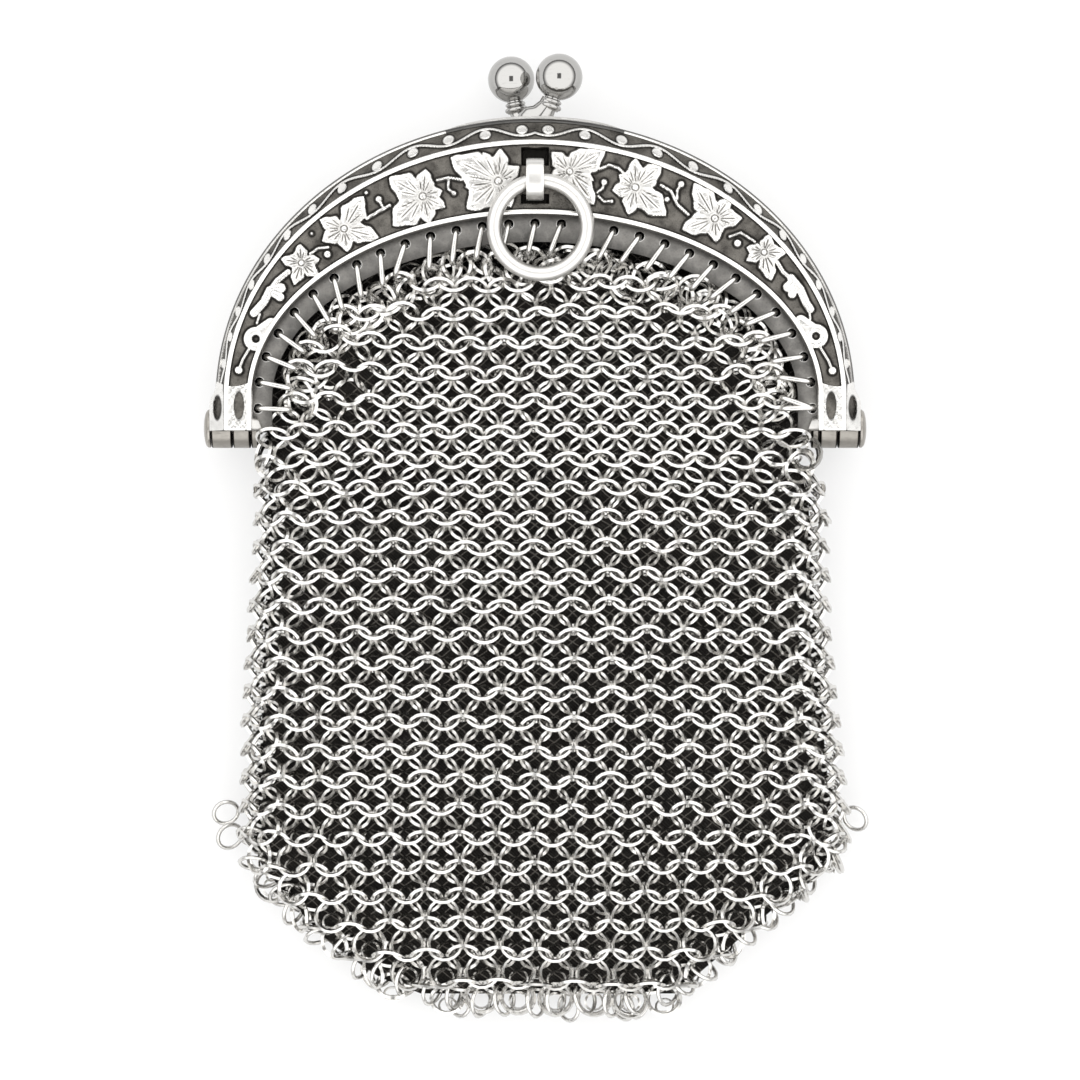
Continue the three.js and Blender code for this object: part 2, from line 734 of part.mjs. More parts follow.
// Half of the bag's section at a station, from the side edge to the flat, set in from the outside.
function edgePoints(station, side, setIn, fromSeam) {
  const half = side < 0 ? station.left : station.right;
  const seam = (station.height + FLOOR_CLEARANCE) / 2;
  const e = station.closed;
  const nose = Math.min(BAG_NOSE, half * 0.6);
  const flat = station.height - setIn;
  const foot = seam + fromSeam;
  return NOSE.map(({ across, up }) => {
    const z = foot + (flat - foot) * up;
    return [side * (half - setIn * e - nose * across), station.y, flat + (z - flat) * e];
  });
}

// One face of the mail, or of the lining: the wall between two depths below the outside.
function wallRing(station, outside, inside, gap) {
  const outer = [
    ...edgePoints(station, -1, outside, gap),
    ...edgePoints(station, 1, outside, gap).reverse(),
  ];
  const inner = [
    ...edgePoints(station, 1, inside, gap),
    ...edgePoints(station, -1, inside, gap).reverse(),
  ];
  return [...outer, ...inner];
}

// The back face is the front's mirror about the bag's own middle height.
function mirroredRing(station, ring) {
  return ring.map(([x, y, z]) => [x, y, station.height + FLOOR_CLEARANCE - z]);
}

function mailFront() {
  const stations = bagStations(mailLine, BAG);
  const rings = stations.map((s) => wallRing(s, 0, MAIL_THICKNESS, SEAM_GAP / 2));
  return union([loft(rings, [0, 2]), ...hangers(frontFlangeZ)]);
}

// The back face is plain: the fine rings that hang it are not modelled here.
function mailBack() {
  const stations = bagStations(mailLine, BAG);
  const rings = stations.map((s) =>
    mirroredRing(s, wallRing(s, 0, MAIL_THICKNESS, SEAM_GAP / 2)),
  );
  return loft(rings, [0, 2]);
}

// The lining: a pouch with an open mouth round the arch, its two panels sewn together along the hem.
function pouch(stations, depth, spread) {
  const rings = stations.map((s) => {
    const more = spread * (1 - s.closed) - LINING_SIDE_GAP * (s.y < 0 ? 1 : 0);
    const wide = { ...s, left: s.left + more, right: s.right + more };
    const upper = [
      ...edgePoints(wide, -1, depth, LINING_SEAM_HALF),
      ...edgePoints(wide, 1, depth, LINING_SEAM_HALF).reverse(),
    ];
    return [...upper, ...mirroredRing(wide, upper).reverse()];
  });
  return loft(rings, [0, 2]);
}

function lining() {
  const outside = MAIL_THICKNESS + LINING_GAP;
  const outer = pouch(bagStations(liningLine, BAG.slice(0, LINING_ROWS)), outside, 0);
  const within = bagStations(liningLine, BAG.slice(0, HOLLOW_ROWS));
  const mouth = { ...within[0], y: within[0].y + MOUTH_CUT };
  const hollow = pouch([mouth, ...within], outside + LINING_WALL, MOUTH_CUT);
  return outer.subtract(hollow);
}

const SILVER = { color: 0xb9b7b0, roughness: 0.3, metalness: 1 };
const DARK_SILVER = { color: 0x8d8b86, roughness: 0.38, metalness: 1 };
const CLOTH = { color: 0x14120f, roughness: 0.95, metalness: 0 };

let frameFront = loft(archRings(frontSection()), [0, 2]);
frameFront = union([frameFront, strip(true), toe(-1), toe(1), ...ornament()]);
frameFront = withHinges(frameFront, true);
frameFront = frameFront.subtract(flangeHoles(frontFlangeZ));
frameFront = frameFront.subtract(bailSlots());
frameFront = frameFront.subtract(pegHole("right"));
frameFront = frameFront.subtract(plateRecess(-1)).subtract(plateRecess(1));

let frameBack = loft(archRings(backSection()), [0, 2]);
frameBack = withHinges(frameBack.add(strip(false)), false);
frameBack = frameBack.subtract(flangeHoles(backFlangeZ));
frameBack = frameBack.subtract(pegHole("left"));

const PIECES = [
  { name: "frame_front", body: frameFront, look: SILVER },
  { name: "frame_back", body: frameBack, look: SILVER },
  { name: "hinge_pin_left", body: hingePin(-1), look: SILVER },
  { name: "hinge_pin_right", body: hingePin(1), look: SILVER },
  { name: "clasp_knob_left", body: knob("left"), look: SILVER },
  { name: "clasp_knob_right", body: knob("right"), look: SILVER },
  { name: "bail", body: bail(), look: SILVER },
  { name: "carrying_ring", body: carryingRing(), look: SILVER },
  { name: "mail_front", body: mailFront(), look: DARK_SILVER },
  { name: "mail_back", body: mailBack(), look: DARK_SILVER },
  { name: "lining", body: lining(), look: CLOTH },
];

// The whole stands with the middle of its box over the origin.
const whole = new THREE.Box3();
for (const { body } of PIECES) {
  const { min, max } = body.boundingBox();
  whole.expandByPoint(new THREE.Vector3(...min));
  whole.expandByPoint(new THREE.Vector3(...max));
}
const shiftX = -(whole.min.x + whole.max.x) / 2;
const shiftY = -(whole.min.y + whole.max.y) / 2;

const purse = new THREE.Group();
for (const { name, body, look } of PIECES) {
  const geometry = geometryOf(body);
  geometry.translate(shiftX, shiftY, 0);
  const mesh = new THREE.Mesh(geometry, new THREE.MeshStandardMaterial(look));
  mesh.name = name;
  purse.add(mesh);
}

export default purse;
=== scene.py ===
"""A metal mesh coin purse lying on its back: cast arch frame, kiss clasp, carrying ring, mail and lining.

Sizes are in millimetres from the arch centre: X to the right of the face, Y towards the clasp, Z out of
the face. They become metres in the part's own frame when a mesh is made.
"""

from __future__ import annotations

import logging
import math
from dataclasses import dataclass, field
from enum import Enum

import bpy
import numpy as np
from numpy.typing import NDArray
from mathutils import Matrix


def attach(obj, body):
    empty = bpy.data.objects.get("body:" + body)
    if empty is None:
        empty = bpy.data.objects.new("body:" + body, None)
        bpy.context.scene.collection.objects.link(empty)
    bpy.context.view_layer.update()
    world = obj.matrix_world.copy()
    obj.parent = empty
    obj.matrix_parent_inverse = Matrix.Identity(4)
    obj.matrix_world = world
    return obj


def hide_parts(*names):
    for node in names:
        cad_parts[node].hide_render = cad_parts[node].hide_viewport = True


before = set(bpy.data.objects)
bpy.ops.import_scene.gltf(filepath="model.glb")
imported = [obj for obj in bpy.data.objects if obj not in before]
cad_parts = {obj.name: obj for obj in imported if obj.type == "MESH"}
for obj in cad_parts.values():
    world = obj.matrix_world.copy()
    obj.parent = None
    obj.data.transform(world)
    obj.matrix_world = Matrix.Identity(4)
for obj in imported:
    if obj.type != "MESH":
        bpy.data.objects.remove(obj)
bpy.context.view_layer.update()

Array = NDArray[np.float64]
Vector3 = tuple[float, float, float]
Shares = tuple[float, ...]
Tree = bpy.types.NodeTree
Socket = bpy.types.NodeSocket
Material = bpy.types.Material
LOG = logging.getLogger("purse")
METRES = 0.001
ARCH_CENTRE_Y = 13.54
SEED = 1907
LATH_HALF = 9.1
LATH_RISE = 0.38
LATH_SUNK = 0.7


class Slot(Enum):
    """Material slots of the record."""

    FRAME = "frame_silver"
    MAIL = "mail_silver"
    CLOTH = "lining_cloth"


class Body(Enum):
    """Bodies that pieces ride on."""

    PURSE = "purse"
    RING = "ring"


class Half(Enum):
    """Halves of the frame."""

    FRONT = "front"
    BACK = "back"


def smooth(low: float, high: float, value: Array) -> Array:
    """Rise from 0 at low to 1 at high, as 3t^2 - 2t^3.

    Args:
        low: Where the rise starts.
        high: Where it ends.
        value: Values to place on the rise.

    Returns:
        Shares from 0 to 1.
    """
    t = np.clip((value - low) / (high - low), 0, 1)
    return t * t * (3 - 2 * t)


def unit(vectors: Array) -> Array:
    """Scale each row of a list of vectors to length 1."""
    return vectors / np.linalg.norm(vectors, axis=1)[:, None]


def walked(line: Array) -> Array:
    """Return the length along a line of points up to each of them."""
    return np.append(0, np.cumsum(np.linalg.norm(np.diff(line, axis=0), axis=1)))


@dataclass
class Surface:
    """Points in millimetres, the faces between them and what is painted on them."""

    points: Array
    quads: NDArray[np.int64]
    tris: NDArray[np.int64] = field(default_factory=lambda: np.zeros((0, 3), np.int64))
    paint: dict[str, Array] = field(default_factory=dict)

    def outward(self) -> Surface:
        """Turn every face round where the enclosed volume, the sum of a.(b x c) / 6, is negative.

        Returns:
            This surface with its faces outwards.
        """
        q = self.quads
        corners = np.concatenate([q[:, [0, 1, 2]], q[:, [0, 2, 3]], self.tris])
        a, b, c = (self.points[corners[:, k]] for k in range(3))
        if (a * np.cross(b, c)).sum() < 0:
            self.quads = self.quads[:, ::-1]
            self.tris = self.tris[:, ::-1]
        return self

    def worn(self, polish: float) -> Surface:
        """Paint the whole surface with one polish share and return it."""
        self.paint = {"relief": np.full(len(self.points), polish)}
        return self


def joined(parts: list[Surface]) -> Surface:
    """Put closed surfaces side by side in one mesh.

    Args:
        parts: Surfaces to put together.

    Returns:
        One surface with every part's points, faces and paint.
    """
    names = sorted({name for part in parts for name in part.paint})
    starts = np.cumsum([0] + [len(part.points) for part in parts[:-1]])
    paint = {
        name: np.concatenate([p.paint.get(name, np.zeros(len(p.points))) for p in parts])
        for name in names
    }
    return Surface(
        np.concatenate([part.points for part in parts]),
        np.concatenate([part.quads + start for part, start in zip(parts, starts)]),
        np.concatenate([part.tris + start for part, start in zip(parts, starts)]),
        paint,
    )


def plate(top: Array, under: Array, relief: Array | None = None, outline: Array | None = None) -> Surface:
    """Close two grids of points that face each other, row by row, into one solid plate.

    Each end is closed by triangles that step along both sides at once, by the share of their length.

    Args:
        top: Grid of points, rows by columns by 3.
        under: The other side of the wall, with as many rows and as many columns as it needs.
        relief: Polish share of the top's points; 1 everywhere where it is left out.
        outline: Share of painted shade and dark seams on the top's points; 0 everywhere where it is left
            out.

    Returns:
        The closed plate, dark on its hidden side where it is painted.
    """
    rings = np.concatenate([top, under[:, ::-1]], 1)
    (rows, columns), around = top.shape[:2], rings.shape[1]
    index = np.arange(rows * around).reshape(rows, around)
    beside = np.roll(index, -1, axis=1)
    quads = np.stack([index[:-1], beside[:-1], beside[1:], index[1:]], -1).reshape(-1, 4)
    first, last = end_strip(top[0], under[0]), end_strip(top[-1], under[-1])
    tris = np.concatenate([first[:, ::-1], last + (rows - 1) * around])
    made = Surface(rings.reshape(-1, 3), quads, tris).outward()
    for name, values, hidden in (("relief", relief, 0.1), ("outline", outline, 0.0)):
        if values is not None:
            full = np.full(rings.shape[:2], hidden)
            full[:, :columns] = np.clip(np.broadcast_to(values, (rows, columns)), 0, 1)
            made.paint[name] = full.ravel()
    return made


def end_strip(upper: Array, lower: Array) -> NDArray[np.int64]:
    """Fill the gap between two lines of points, stepping along both by the share of their length.

    Args:
        upper: First line; its points are numbered from 0.
        lower: Second line; its points are numbered on from the first line's, last point first.

    Returns:
        Triangles by point number.
    """
    shares = []
    for line in (upper, lower):
        run = walked(line)
        shares.append(run[1:] / run[-1])
    number = len(upper) + len(lower) - 1 - np.arange(len(lower))
    i, j = np.arange(len(upper) - 1), np.arange(len(lower) - 1)
    reached_lower = np.searchsorted(shares[1], shares[0], side="left")
    reached_upper = np.searchsorted(shares[0], shares[1], side="right")
    along_upper = np.stack([i, i + 1, number[reached_lower]], -1)
    along_lower = np.stack([number[j + 1], number[j], reached_upper], -1)
    return np.concatenate([along_upper, along_lower])


def skin(rings: Array, looped: bool) -> Surface:
    """Join rings of points, each closed on itself, into a tube.

    Args:
        rings: Rings by points by 3.
        looped: True where the last ring meets the first; otherwise each end is closed to its middle.

    Returns:
        The closed tube.
    """
    count, around = rings.shape[:2]
    index = np.arange(count * around).reshape(count, around)
    beside = np.roll(index, -1, axis=1)
    if looped:
        here, there = (index, beside), (np.roll(index, -1, 0), np.roll(beside, -1, 0))
    else:
        here, there = (index[:-1], beside[:-1]), (index[1:], beside[1:])
    quads = np.stack([here[0], here[1], there[1], there[0]], -1).reshape(-1, 4)
    points = rings.reshape(-1, 3)
    tris = np.zeros((0, 3), np.int64)
    if not looped:
        poles = np.stack([rings[0].mean(0), rings[-1].mean(0)])
        points = np.concatenate([points, poles])
        first = np.stack([beside[0], index[0], np.full(around, count * around)], -1)
        last = np.stack([index[-1], beside[-1], np.full(around, count * around + 1)], -1)
        tris = np.concatenate([first, last])
    return Surface(points, quads, tris).outward()


def turned(profile: list[tuple[float, float]], foot: Vector3, axis: Vector3, sides: int) -> Surface:
    """Turn a profile about an axis: radius times the circle across it, plus height along it.

    Args:
        profile: Radius and height of each station along the axis.
        foot: Where the height is zero.
        axis: Direction of the axis.
        sides: Points round each circle.

    Returns:
        The closed turned solid.
    """
    along = np.array(axis) / np.linalg.norm(axis)
    aside = np.cross(along, (0.0, 0.0, 1.0))
    if np.linalg.norm(aside) < 0.1:
        aside = np.array((1.0, 0.0, 0.0))
    aside = aside / np.linalg.norm(aside)
    third = np.cross(along, aside)
    t = 2 * np.pi * np.arange(sides) / sides
    circle = np.cos(t)[:, None] * aside + np.sin(t)[:, None] * third
    sizes = np.array(profile)
    radius = np.maximum(sizes[:, 0], 0.002)
    rings = np.array(foot) + sizes[:, 1, None, None] * along + radius[:, None, None] * circle
    return skin(rings, False)


def rounded(radius: float, low: float, high: float, edge: float) -> list[tuple[float, float]]:
    """Profile of a short cylinder whose two edges are rounded with quarter circles.

    Args:
        radius: Radius of the cylinder.
        low: Height of its foot.
        high: Height of its top.
        edge: Radius of the rounding.

    Returns:
        Radius and height of each station.
    """
    t = np.linspace(0, np.pi / 2, 4)
    foot = [(radius - edge + edge * math.sin(a), low + edge - edge * math.cos(a)) for a in t]
    head = [(radius - edge + edge * math.cos(a), high - edge + edge * math.sin(a)) for a in t]
    return [(0.0, low)] + foot + head + [(0.0, high)]


def chain(
    centres: Array,
    first: Array,
    second: Array,
    radius: Array,
    wire: float,
    around: int = 18,
    across: int = 4,
    square: float = 1.0,
) -> Surface:
    """Bend many wire rings: centre + (R + w cos b)(cos t first + sin t second) + w sin b normal.

    Args:
        centres: Middle of each ring.
        first: Unit direction in each ring's plane.
        second: The other unit direction in each ring's plane.
        radius: Radius of each ring's wire line.
        wire: Diameter of the wire.
        around: Points round each ring.
        across: Points round the wire.
        square: Power of the cosine and sine; below 1 the rings' runs are straighter.

    Returns:
        All rings, with a random shade from 0 to 1 painted on each.
    """
    count = len(centres)
    t = 2 * np.pi * np.arange(around) / around
    b = 2 * np.pi * np.arange(across) / across
    normal = np.cross(first, second)
    cos, sin = (np.sign(v) * np.abs(v) ** square for v in (np.cos(t), np.sin(t)))
    out = cos[None, :, None] * first[:, None, :] + sin[None, :, None] * second[:, None, :]
    reach = radius[:, None, None, None] + wire / 2 * np.cos(b)[None, None, :, None]
    lift = wire / 2 * np.sin(b)[None, None, :, None] * normal[:, None, None, :]
    points = centres[:, None, None, :] + reach * out[:, :, None, :] + lift
    index = np.arange(around * across).reshape(around, across)
    ahead, beside = np.roll(index, -1, 0), np.roll(index, -1, 1)
    one = np.stack([index, ahead, np.roll(ahead, -1, 1), beside], -1).reshape(-1, 4)
    starts = np.arange(count)[:, None, None] * around * across
    shade = np.random.default_rng(SEED + count).random(count)
    return Surface(
        points.reshape(-1, 3),
        (one[None] + starts).reshape(-1, 4),
        paint={"shade": np.repeat(shade, around * across)},
    ).outward()


@dataclass(frozen=True)
class ArchLine:
    """Half an ellipse about the arch centre, with straight legs below it."""

    side: float
    top: float

    def inset(self, side: float, top: float) -> ArchLine:
        """Return the line that lies further in by the given amounts."""
        return ArchLine(self.side - side, self.top - top)


OUTER = ArchLine(31.9, 28.05)
BORDER = OUTER.inset(1.25, 2.55)
BAND = OUTER.inset(3.5, 9.45)
HOLES = BAND.inset(0.8, 1.05)
LIP = HOLES.inset(1.4, 1.85)
LEG = 3.1
FACE_Z = 11.4
MIDDLE_Z = 5.7
FRONT_FLANGE_Z = 9.5
BACK_FLANGE_Z = 1.955


@dataclass(frozen=True)
class Stations:
    """Places along the arch, from the right leg's foot over the top to the left leg's foot."""

    cos: Array
    sin: Array
    drop: Array

    @staticmethod
    def even(arc: int, leg: int) -> Stations:
        """Spread places evenly in angle over the arch and evenly down each leg.

        Args:
            arc: Places over the arch.
            leg: Places down each leg.

        Returns:
            The places.
        """
        angle = np.concatenate([np.zeros(leg), np.linspace(0, np.pi, arc), np.full(leg, np.pi)])
        down = np.linspace(LEG, 0, leg, endpoint=False)
        drop = np.concatenate([down, np.zeros(arc), down[::-1]])
        return Stations(np.cos(angle), np.sin(angle), drop)

    def grid(self, side: Array, top: Array, z: Array) -> Array:
        """Carry a section along the arch: x = side cos, y = top sin - drop, z as given.

        Args:
            side: Half-width of each section point's line.
            top: Rise of each section point's line.
            z: Height of each section point.

        Returns:
            Stations by section points by 3.
        """
        x = self.cos[:, None] * side[None]
        y = self.sin[:, None] * top[None] - self.drop[:, None]
        return np.stack([x, y, np.broadcast_to(z[None], x.shape)], -1)


def section(corners: list[tuple[ArchLine, float, float]], counts: list[int]) -> tuple[Array, Array, Array]:
    """Subdivide a section drawn by corners, each a line, how far out from it, and a height.

    Args:
        corners: Line, offset and height of each corner.
        counts: Steps between one corner and the next.

    Returns:
        Half-width, rise and height of each point.
    """
    values = np.array([(line.side + by, line.top + by, z) for line, by, z in corners])
    steps = [values[i] + (values[i + 1] - values[i]) * np.linspace(0, 1, n, endpoint=False)[:, None]
             for i, n in enumerate(counts)]
    whole = np.concatenate(steps + [values[-1:]])
    return whole[:, 0], whole[:, 1], whole[:, 2]


@dataclass(frozen=True)
class Petal:
    """A pointed petal or leaf lobe from the middle of its ornament."""

    turn: float
    length: float
    half: float


@dataclass(frozen=True)
class Blossom:
    """A flower or ivy leaf of several lobes with veins and a round eye."""

    x: float
    y: float
    eye: float
    core: float
    petals: tuple[Petal, ...]


@dataclass(frozen=True)
class Tendril:
    """A raised line of the given half-width through points, with a drop at its end."""

    points: tuple[tuple[float, float], ...]
    half: float = 0.15
    drop: float = 0.0


BLOSSOMS = (
    Blossom(-23.19, 13.5, 0.22, 0.62, (Petal(94, 1.9, 0.72), Petal(170, 2.1, 0.68), Petal(252, 2.35, 0.7),
                                       Petal(322, 2.2, 0.7), Petal(12, 1.9, 0.65))),
    Blossom(-18.95, 16.88, 0.25, 0.85, (Petal(59, 3.8, 1.25), Petal(160, 2.6, 0.85), Petal(210, 2.55, 0.9),
                                        Petal(278, 2.35, 0.85), Petal(346, 3.6, 1.0))),
    Blossom(-11.14, 20.1, 0.28, 0.95, (Petal(151, 3.85, 1.4), Petal(84, 2.75, 1.0), Petal(16, 2.05, 0.85),
                                       Petal(334, 2.5, 0.85), Petal(284, 2.8, 1.0), Petal(225, 4.2, 1.5))),
    Blossom(-3.64, 21.6, 0.28, 1.35, (Petal(153.6, 5.3, 1.7), Petal(118, 3.3, 0.9), Petal(86, 3.3, 1.0),
                                      Petal(222, 4.2, 1.5), Petal(190, 3.4, 1.0), Petal(35, 2.6, 0.9),
                                      Petal(296, 2.9, 1.05))),
    Blossom(3.42, 22.54, 0.24, 1.2, (Petal(31.4, 4.2, 1.35), Petal(66, 2.5, 0.8), Petal(132, 2.7, 0.9),
                                     Petal(307, 4.1, 1.2), Petal(340, 2.6, 0.85), Petal(200, 2.1, 0.85))),
    Blossom(9.95, 21.0, 0.27, 0.85, (Petal(90, 2.9, 0.95), Petal(41, 3.45, 1.1), Petal(317, 4.2, 1.3),
                                     Petal(256, 2.85, 0.95), Petal(188, 2.35, 0.95),
                                      Petal(142, 2.1, 0.75))),
    Blossom(17.84, 17.9, 0.27, 0.85, (Petal(120.6, 4.1, 1.2), Petal(53, 2.5, 0.9), Petal(0, 2.75, 0.95),
                                      Petal(273, 2.4, 0.8), Petal(199, 3.5, 1.1))),
    Blossom(22.72, 14.55, 0.22, 0.62, (Petal(72, 1.9, 0.7), Petal(165, 1.85, 0.66), Petal(205, 2.0, 0.6),
                                       Petal(359, 2.25, 0.75), Petal(284.5, 2.95, 0.85))),
)
TENDRILS = (
    Tendril(((-22.3, 14.4), (-21.5, 14.95), (-20.5, 15.05)), 0.15),
    Tendril(((-20.7, 14.3), (-20.6, 14.35)), 0.1, 0.36),
    Tendril(((-16.7, 17.9), (-15.7, 18.5), (-14.4, 19.2)), 0.18),
    Tendril(((-15.1, 19.0), (-15.5, 19.8)), 0.16, 0.34),
    Tendril(((-16.8, 20.35), (-16.75, 20.45)), 0.1, 0.2),
    Tendril(((-22.2, 16.35), (-22.15, 16.4)), 0.1, 0.17),
    Tendril(((-9.7, 21.7), (-8.5, 21.95), (-7.3, 21.75)), 0.16),
    Tendril(((-8.6, 21.8), (-8.6, 20.8), (-8.05, 20.4)), 0.15, 0.26),
    Tendril(((6.4, 22.8), (7.3, 23.2), (8.2, 22.95), (8.8, 22.4)), 0.16),
    Tendril(((6.2, 20.5), (6.7, 20.9), (6.85, 21.5)), 0.15, 0.33),
    Tendril(((6.3, 20.1), (6.8, 19.6), (7.6, 19.6)), 0.15, 0.2),
    Tendril(((12.5, 21.2), (13.5, 20.6), (14.1, 19.3), (15.2, 18.3)), 0.17),
    Tendril(((14.1, 19.8), (14.1, 20.7), (14.5, 21.3)), 0.15, 0.33),
    Tendril(((13.0, 19.8), (13.1, 19.8)), 0.1, 0.27),
    Tendril(((19.3, 16.1), (20.4, 16.5), (21.8, 15.6)), 0.15),
    Tendril(((20.0, 15.4), (20.1, 15.45)), 0.1, 0.38),
    Tendril(((24.0, 13.6), (24.6, 12.6), (25.4, 11.9)), 0.22),
    Tendril(((25.4, 12.0), (26.3, 10.9), (26.9, 9.5), (27.3, 8.9)), 0.42),
    Tendril(((25.6, 11.6), (25.1, 11.1)), 0.5, 0.52),
    Tendril(((25.9, 11.0), (25.5, 10.4)), 0.4, 0.45),
    Tendril(((27.2, 8.9), (27.3, 7.9)), 0.14),
    Tendril(((28.3, 5.1), (29.1, 3.8), (29.5, 2.8)), 0.15, 0.4),
    Tendril(((-24.5, 12.6), (-25.6, 11.7), (-26.5, 10.5)), 0.3),
    Tendril(((-26.3, 10.8), (-26.9, 9.6), (-27.9, 8.5)), 0.42),
    Tendril(((-25.9, 11.1), (-25.2, 11.0)), 0.42, 0.5),
    Tendril(((-26.0, 10.5), (-25.3, 10.1)), 0.4, 0.45),
    Tendril(((-27.3, 8.4), (-27.6, 7.5)), 0.14),
    Tendril(((-28.4, 4.9), (-29.0, 3.9), (-29.4, 2.85)), 0.15, 0.4),
)
SCROLLS = ((27.87, 6.23, 1), (-27.7, 5.95, -1))


def stroke(x: Array, y: Array, points: tuple[tuple[float, float], ...]) -> Array:
    """Measure how far each place is from a line through points: the least distance to its straight parts.

    Args:
        x: Places across.
        y: Places up.
        points: The line's points.

    Returns:
        Distance of each place.
    """
    nearest = np.full(x.shape, 1e3)
    for (x0, y0), (x1, y1) in zip(points[:-1], points[1:]):
        dx, dy = x1 - x0, y1 - y0
        share = np.clip(((x - x0) * dx + (y - y0) * dy) / (dx * dx + dy * dy), 0, 1)
        nearest = np.minimum(nearest, np.hypot(x - x0 - share * dx, y - y0 - share * dy))
    return nearest


@dataclass(frozen=True)
class CastRelief:
    """Flowers, leaves, tendrils and scrolls that stand on the band."""

    soft: float = 0.06
    vein: float = 0.07

    def inside(self, x: Array, y: Array) -> tuple[Array, Array]:
        """Measure how deep each place lies in the ornament, and how deep the veins are cut there.

        A petal is |across| < half sin(pi s^0.85)^0.8 for the share s of its length, with a rippled
        edge, and a vein is a narrow groove along its middle or at a small angle to either side.

        Args:
            x: Places across.
            y: Places up.

        Returns:
            Depth inside the outline, negative outside, and the share from 0 to 1 of the veins and of the
            painted shade round each eye.
        """
        depth = np.full(x.shape, -9.0)
        veins = np.zeros(x.shape)
        for blossom in BLOSSOMS:
            dx, dy = x - blossom.x, y - blossom.y
            far = np.hypot(dx, dy)
            flower = np.full(x.shape, -9.0)
            grooves = np.zeros(x.shape)
            for k, petal in enumerate(blossom.petals):
                t = math.radians(petal.turn)
                along = dx * math.cos(t) + dy * math.sin(t)
                aside = -dx * math.sin(t) + dy * math.cos(t)
                share = np.clip(along / petal.length, 0, 1)
                ripple = 1 + 0.1 * np.sin(15 * share + 2.1 * k + np.sign(aside))
                wide = petal.half * ripple * np.sin(np.pi * share**0.85) ** 0.8
                beyond = np.maximum(along - petal.length, 0) + np.maximum(-along, 0)
                flower = np.maximum(flower, 0.85 * (wide - np.abs(aside)) - beyond)
                for lean, reach in ((0.0, 0.85), (0.32, 0.66), (-0.32, 0.66)):
                    line = np.abs(aside - lean * along)
                    fade = smooth(0.1, 0.25, share) * (1 - smooth(reach - 0.2, reach, share))
                    grooves = np.maximum(grooves, fade * np.exp(-((line / self.vein) ** 2)))
            eye = blossom.eye - far
            moat = np.exp(-(((far - blossom.eye - 0.09) / 0.08) ** 2))
            grooves = np.where(eye > 0, 0, np.maximum(grooves, moat))
            flower = np.maximum(flower, 0.75 * blossom.core - far)
            # Painted shade: darker round each eye, where the form also dips a little.
            eye_hollow_shade = 0.3 * np.exp(-((far / (1.6 * blossom.core)) ** 2))
            veins = np.where(flower > depth, np.maximum(grooves, np.where(eye > 0, 0, eye_hollow_shade)), veins)
            depth = np.maximum(depth, np.maximum(flower, eye))
        for tendril in TENDRILS:
            part = tendril.half - stroke(x, y, tendril.points)
            end_x, end_y = tendril.points[-1]
            part = np.maximum(part, tendril.drop - np.hypot(x - end_x, y - end_y))
            depth = np.maximum(depth, part)
        for cx, cy, side in SCROLLS:
            far = np.hypot(x - cx, y - cy)
            body = 1.22 - far
            tail = 0.62 - stroke(x, y, ((cx - 0.2 * side, cy + 0.6), (cx - 1.5 * side, cy + 1.5)))
            root = 0.5 - stroke(x, y, ((cx - 0.5 * side, cy - 0.5), (cx - 0.9 * side, cy - 0.6)))
            solid = np.maximum(np.maximum(body, tail), root)
            depth = np.maximum(depth, np.minimum(solid, far - 0.36))
        return depth, veins

    def height(self, x: Array, y: Array) -> tuple[Array, Array, Array]:
        """Turn depth inside the outline into height, brightness and the painted shadow round each form.

        Args:
            x: Places across.
            y: Places up.

        Returns:
            Height share, polish share and painted shadow share of each place.
        """
        depth, veins = self.inside(x, y)
        up = smooth(-self.soft, self.soft, depth)
        crown = 0.82 + 0.18 * smooth(0.0, 0.6, depth)
        # Painted shadow: a dark band just outside each flower, leaf, tendril and scroll.
        outline = np.exp(-(((depth + 0.12) / 0.12) ** 2))
        return up * crown * (1 - 0.45 * veins), up * (1 - 0.85 * veins), outline


class FinishKind(Enum):
    """Finishes of the purse's surfaces."""

    CAST = "cast_silver"
    POLISHED = "polished_silver"
    SATIN = "satin_silver"
    HINGE = "worn_hinge_silver"
    WIRE = "mail_wire_silver"
    CLOTH = "lining_cloth"
    FLOOR = "paper_floor"


@dataclass(frozen=True)
class MetalFinish:
    """Colours and gloss of a silver finish: polished parts, the grey ground, and the dark of tarnished
    recesses and of painted shade.
    """

    bright: Vector3
    ground: Vector3
    dark: Vector3
    gloss: float
    haze: float
    grain: float
    bump: float


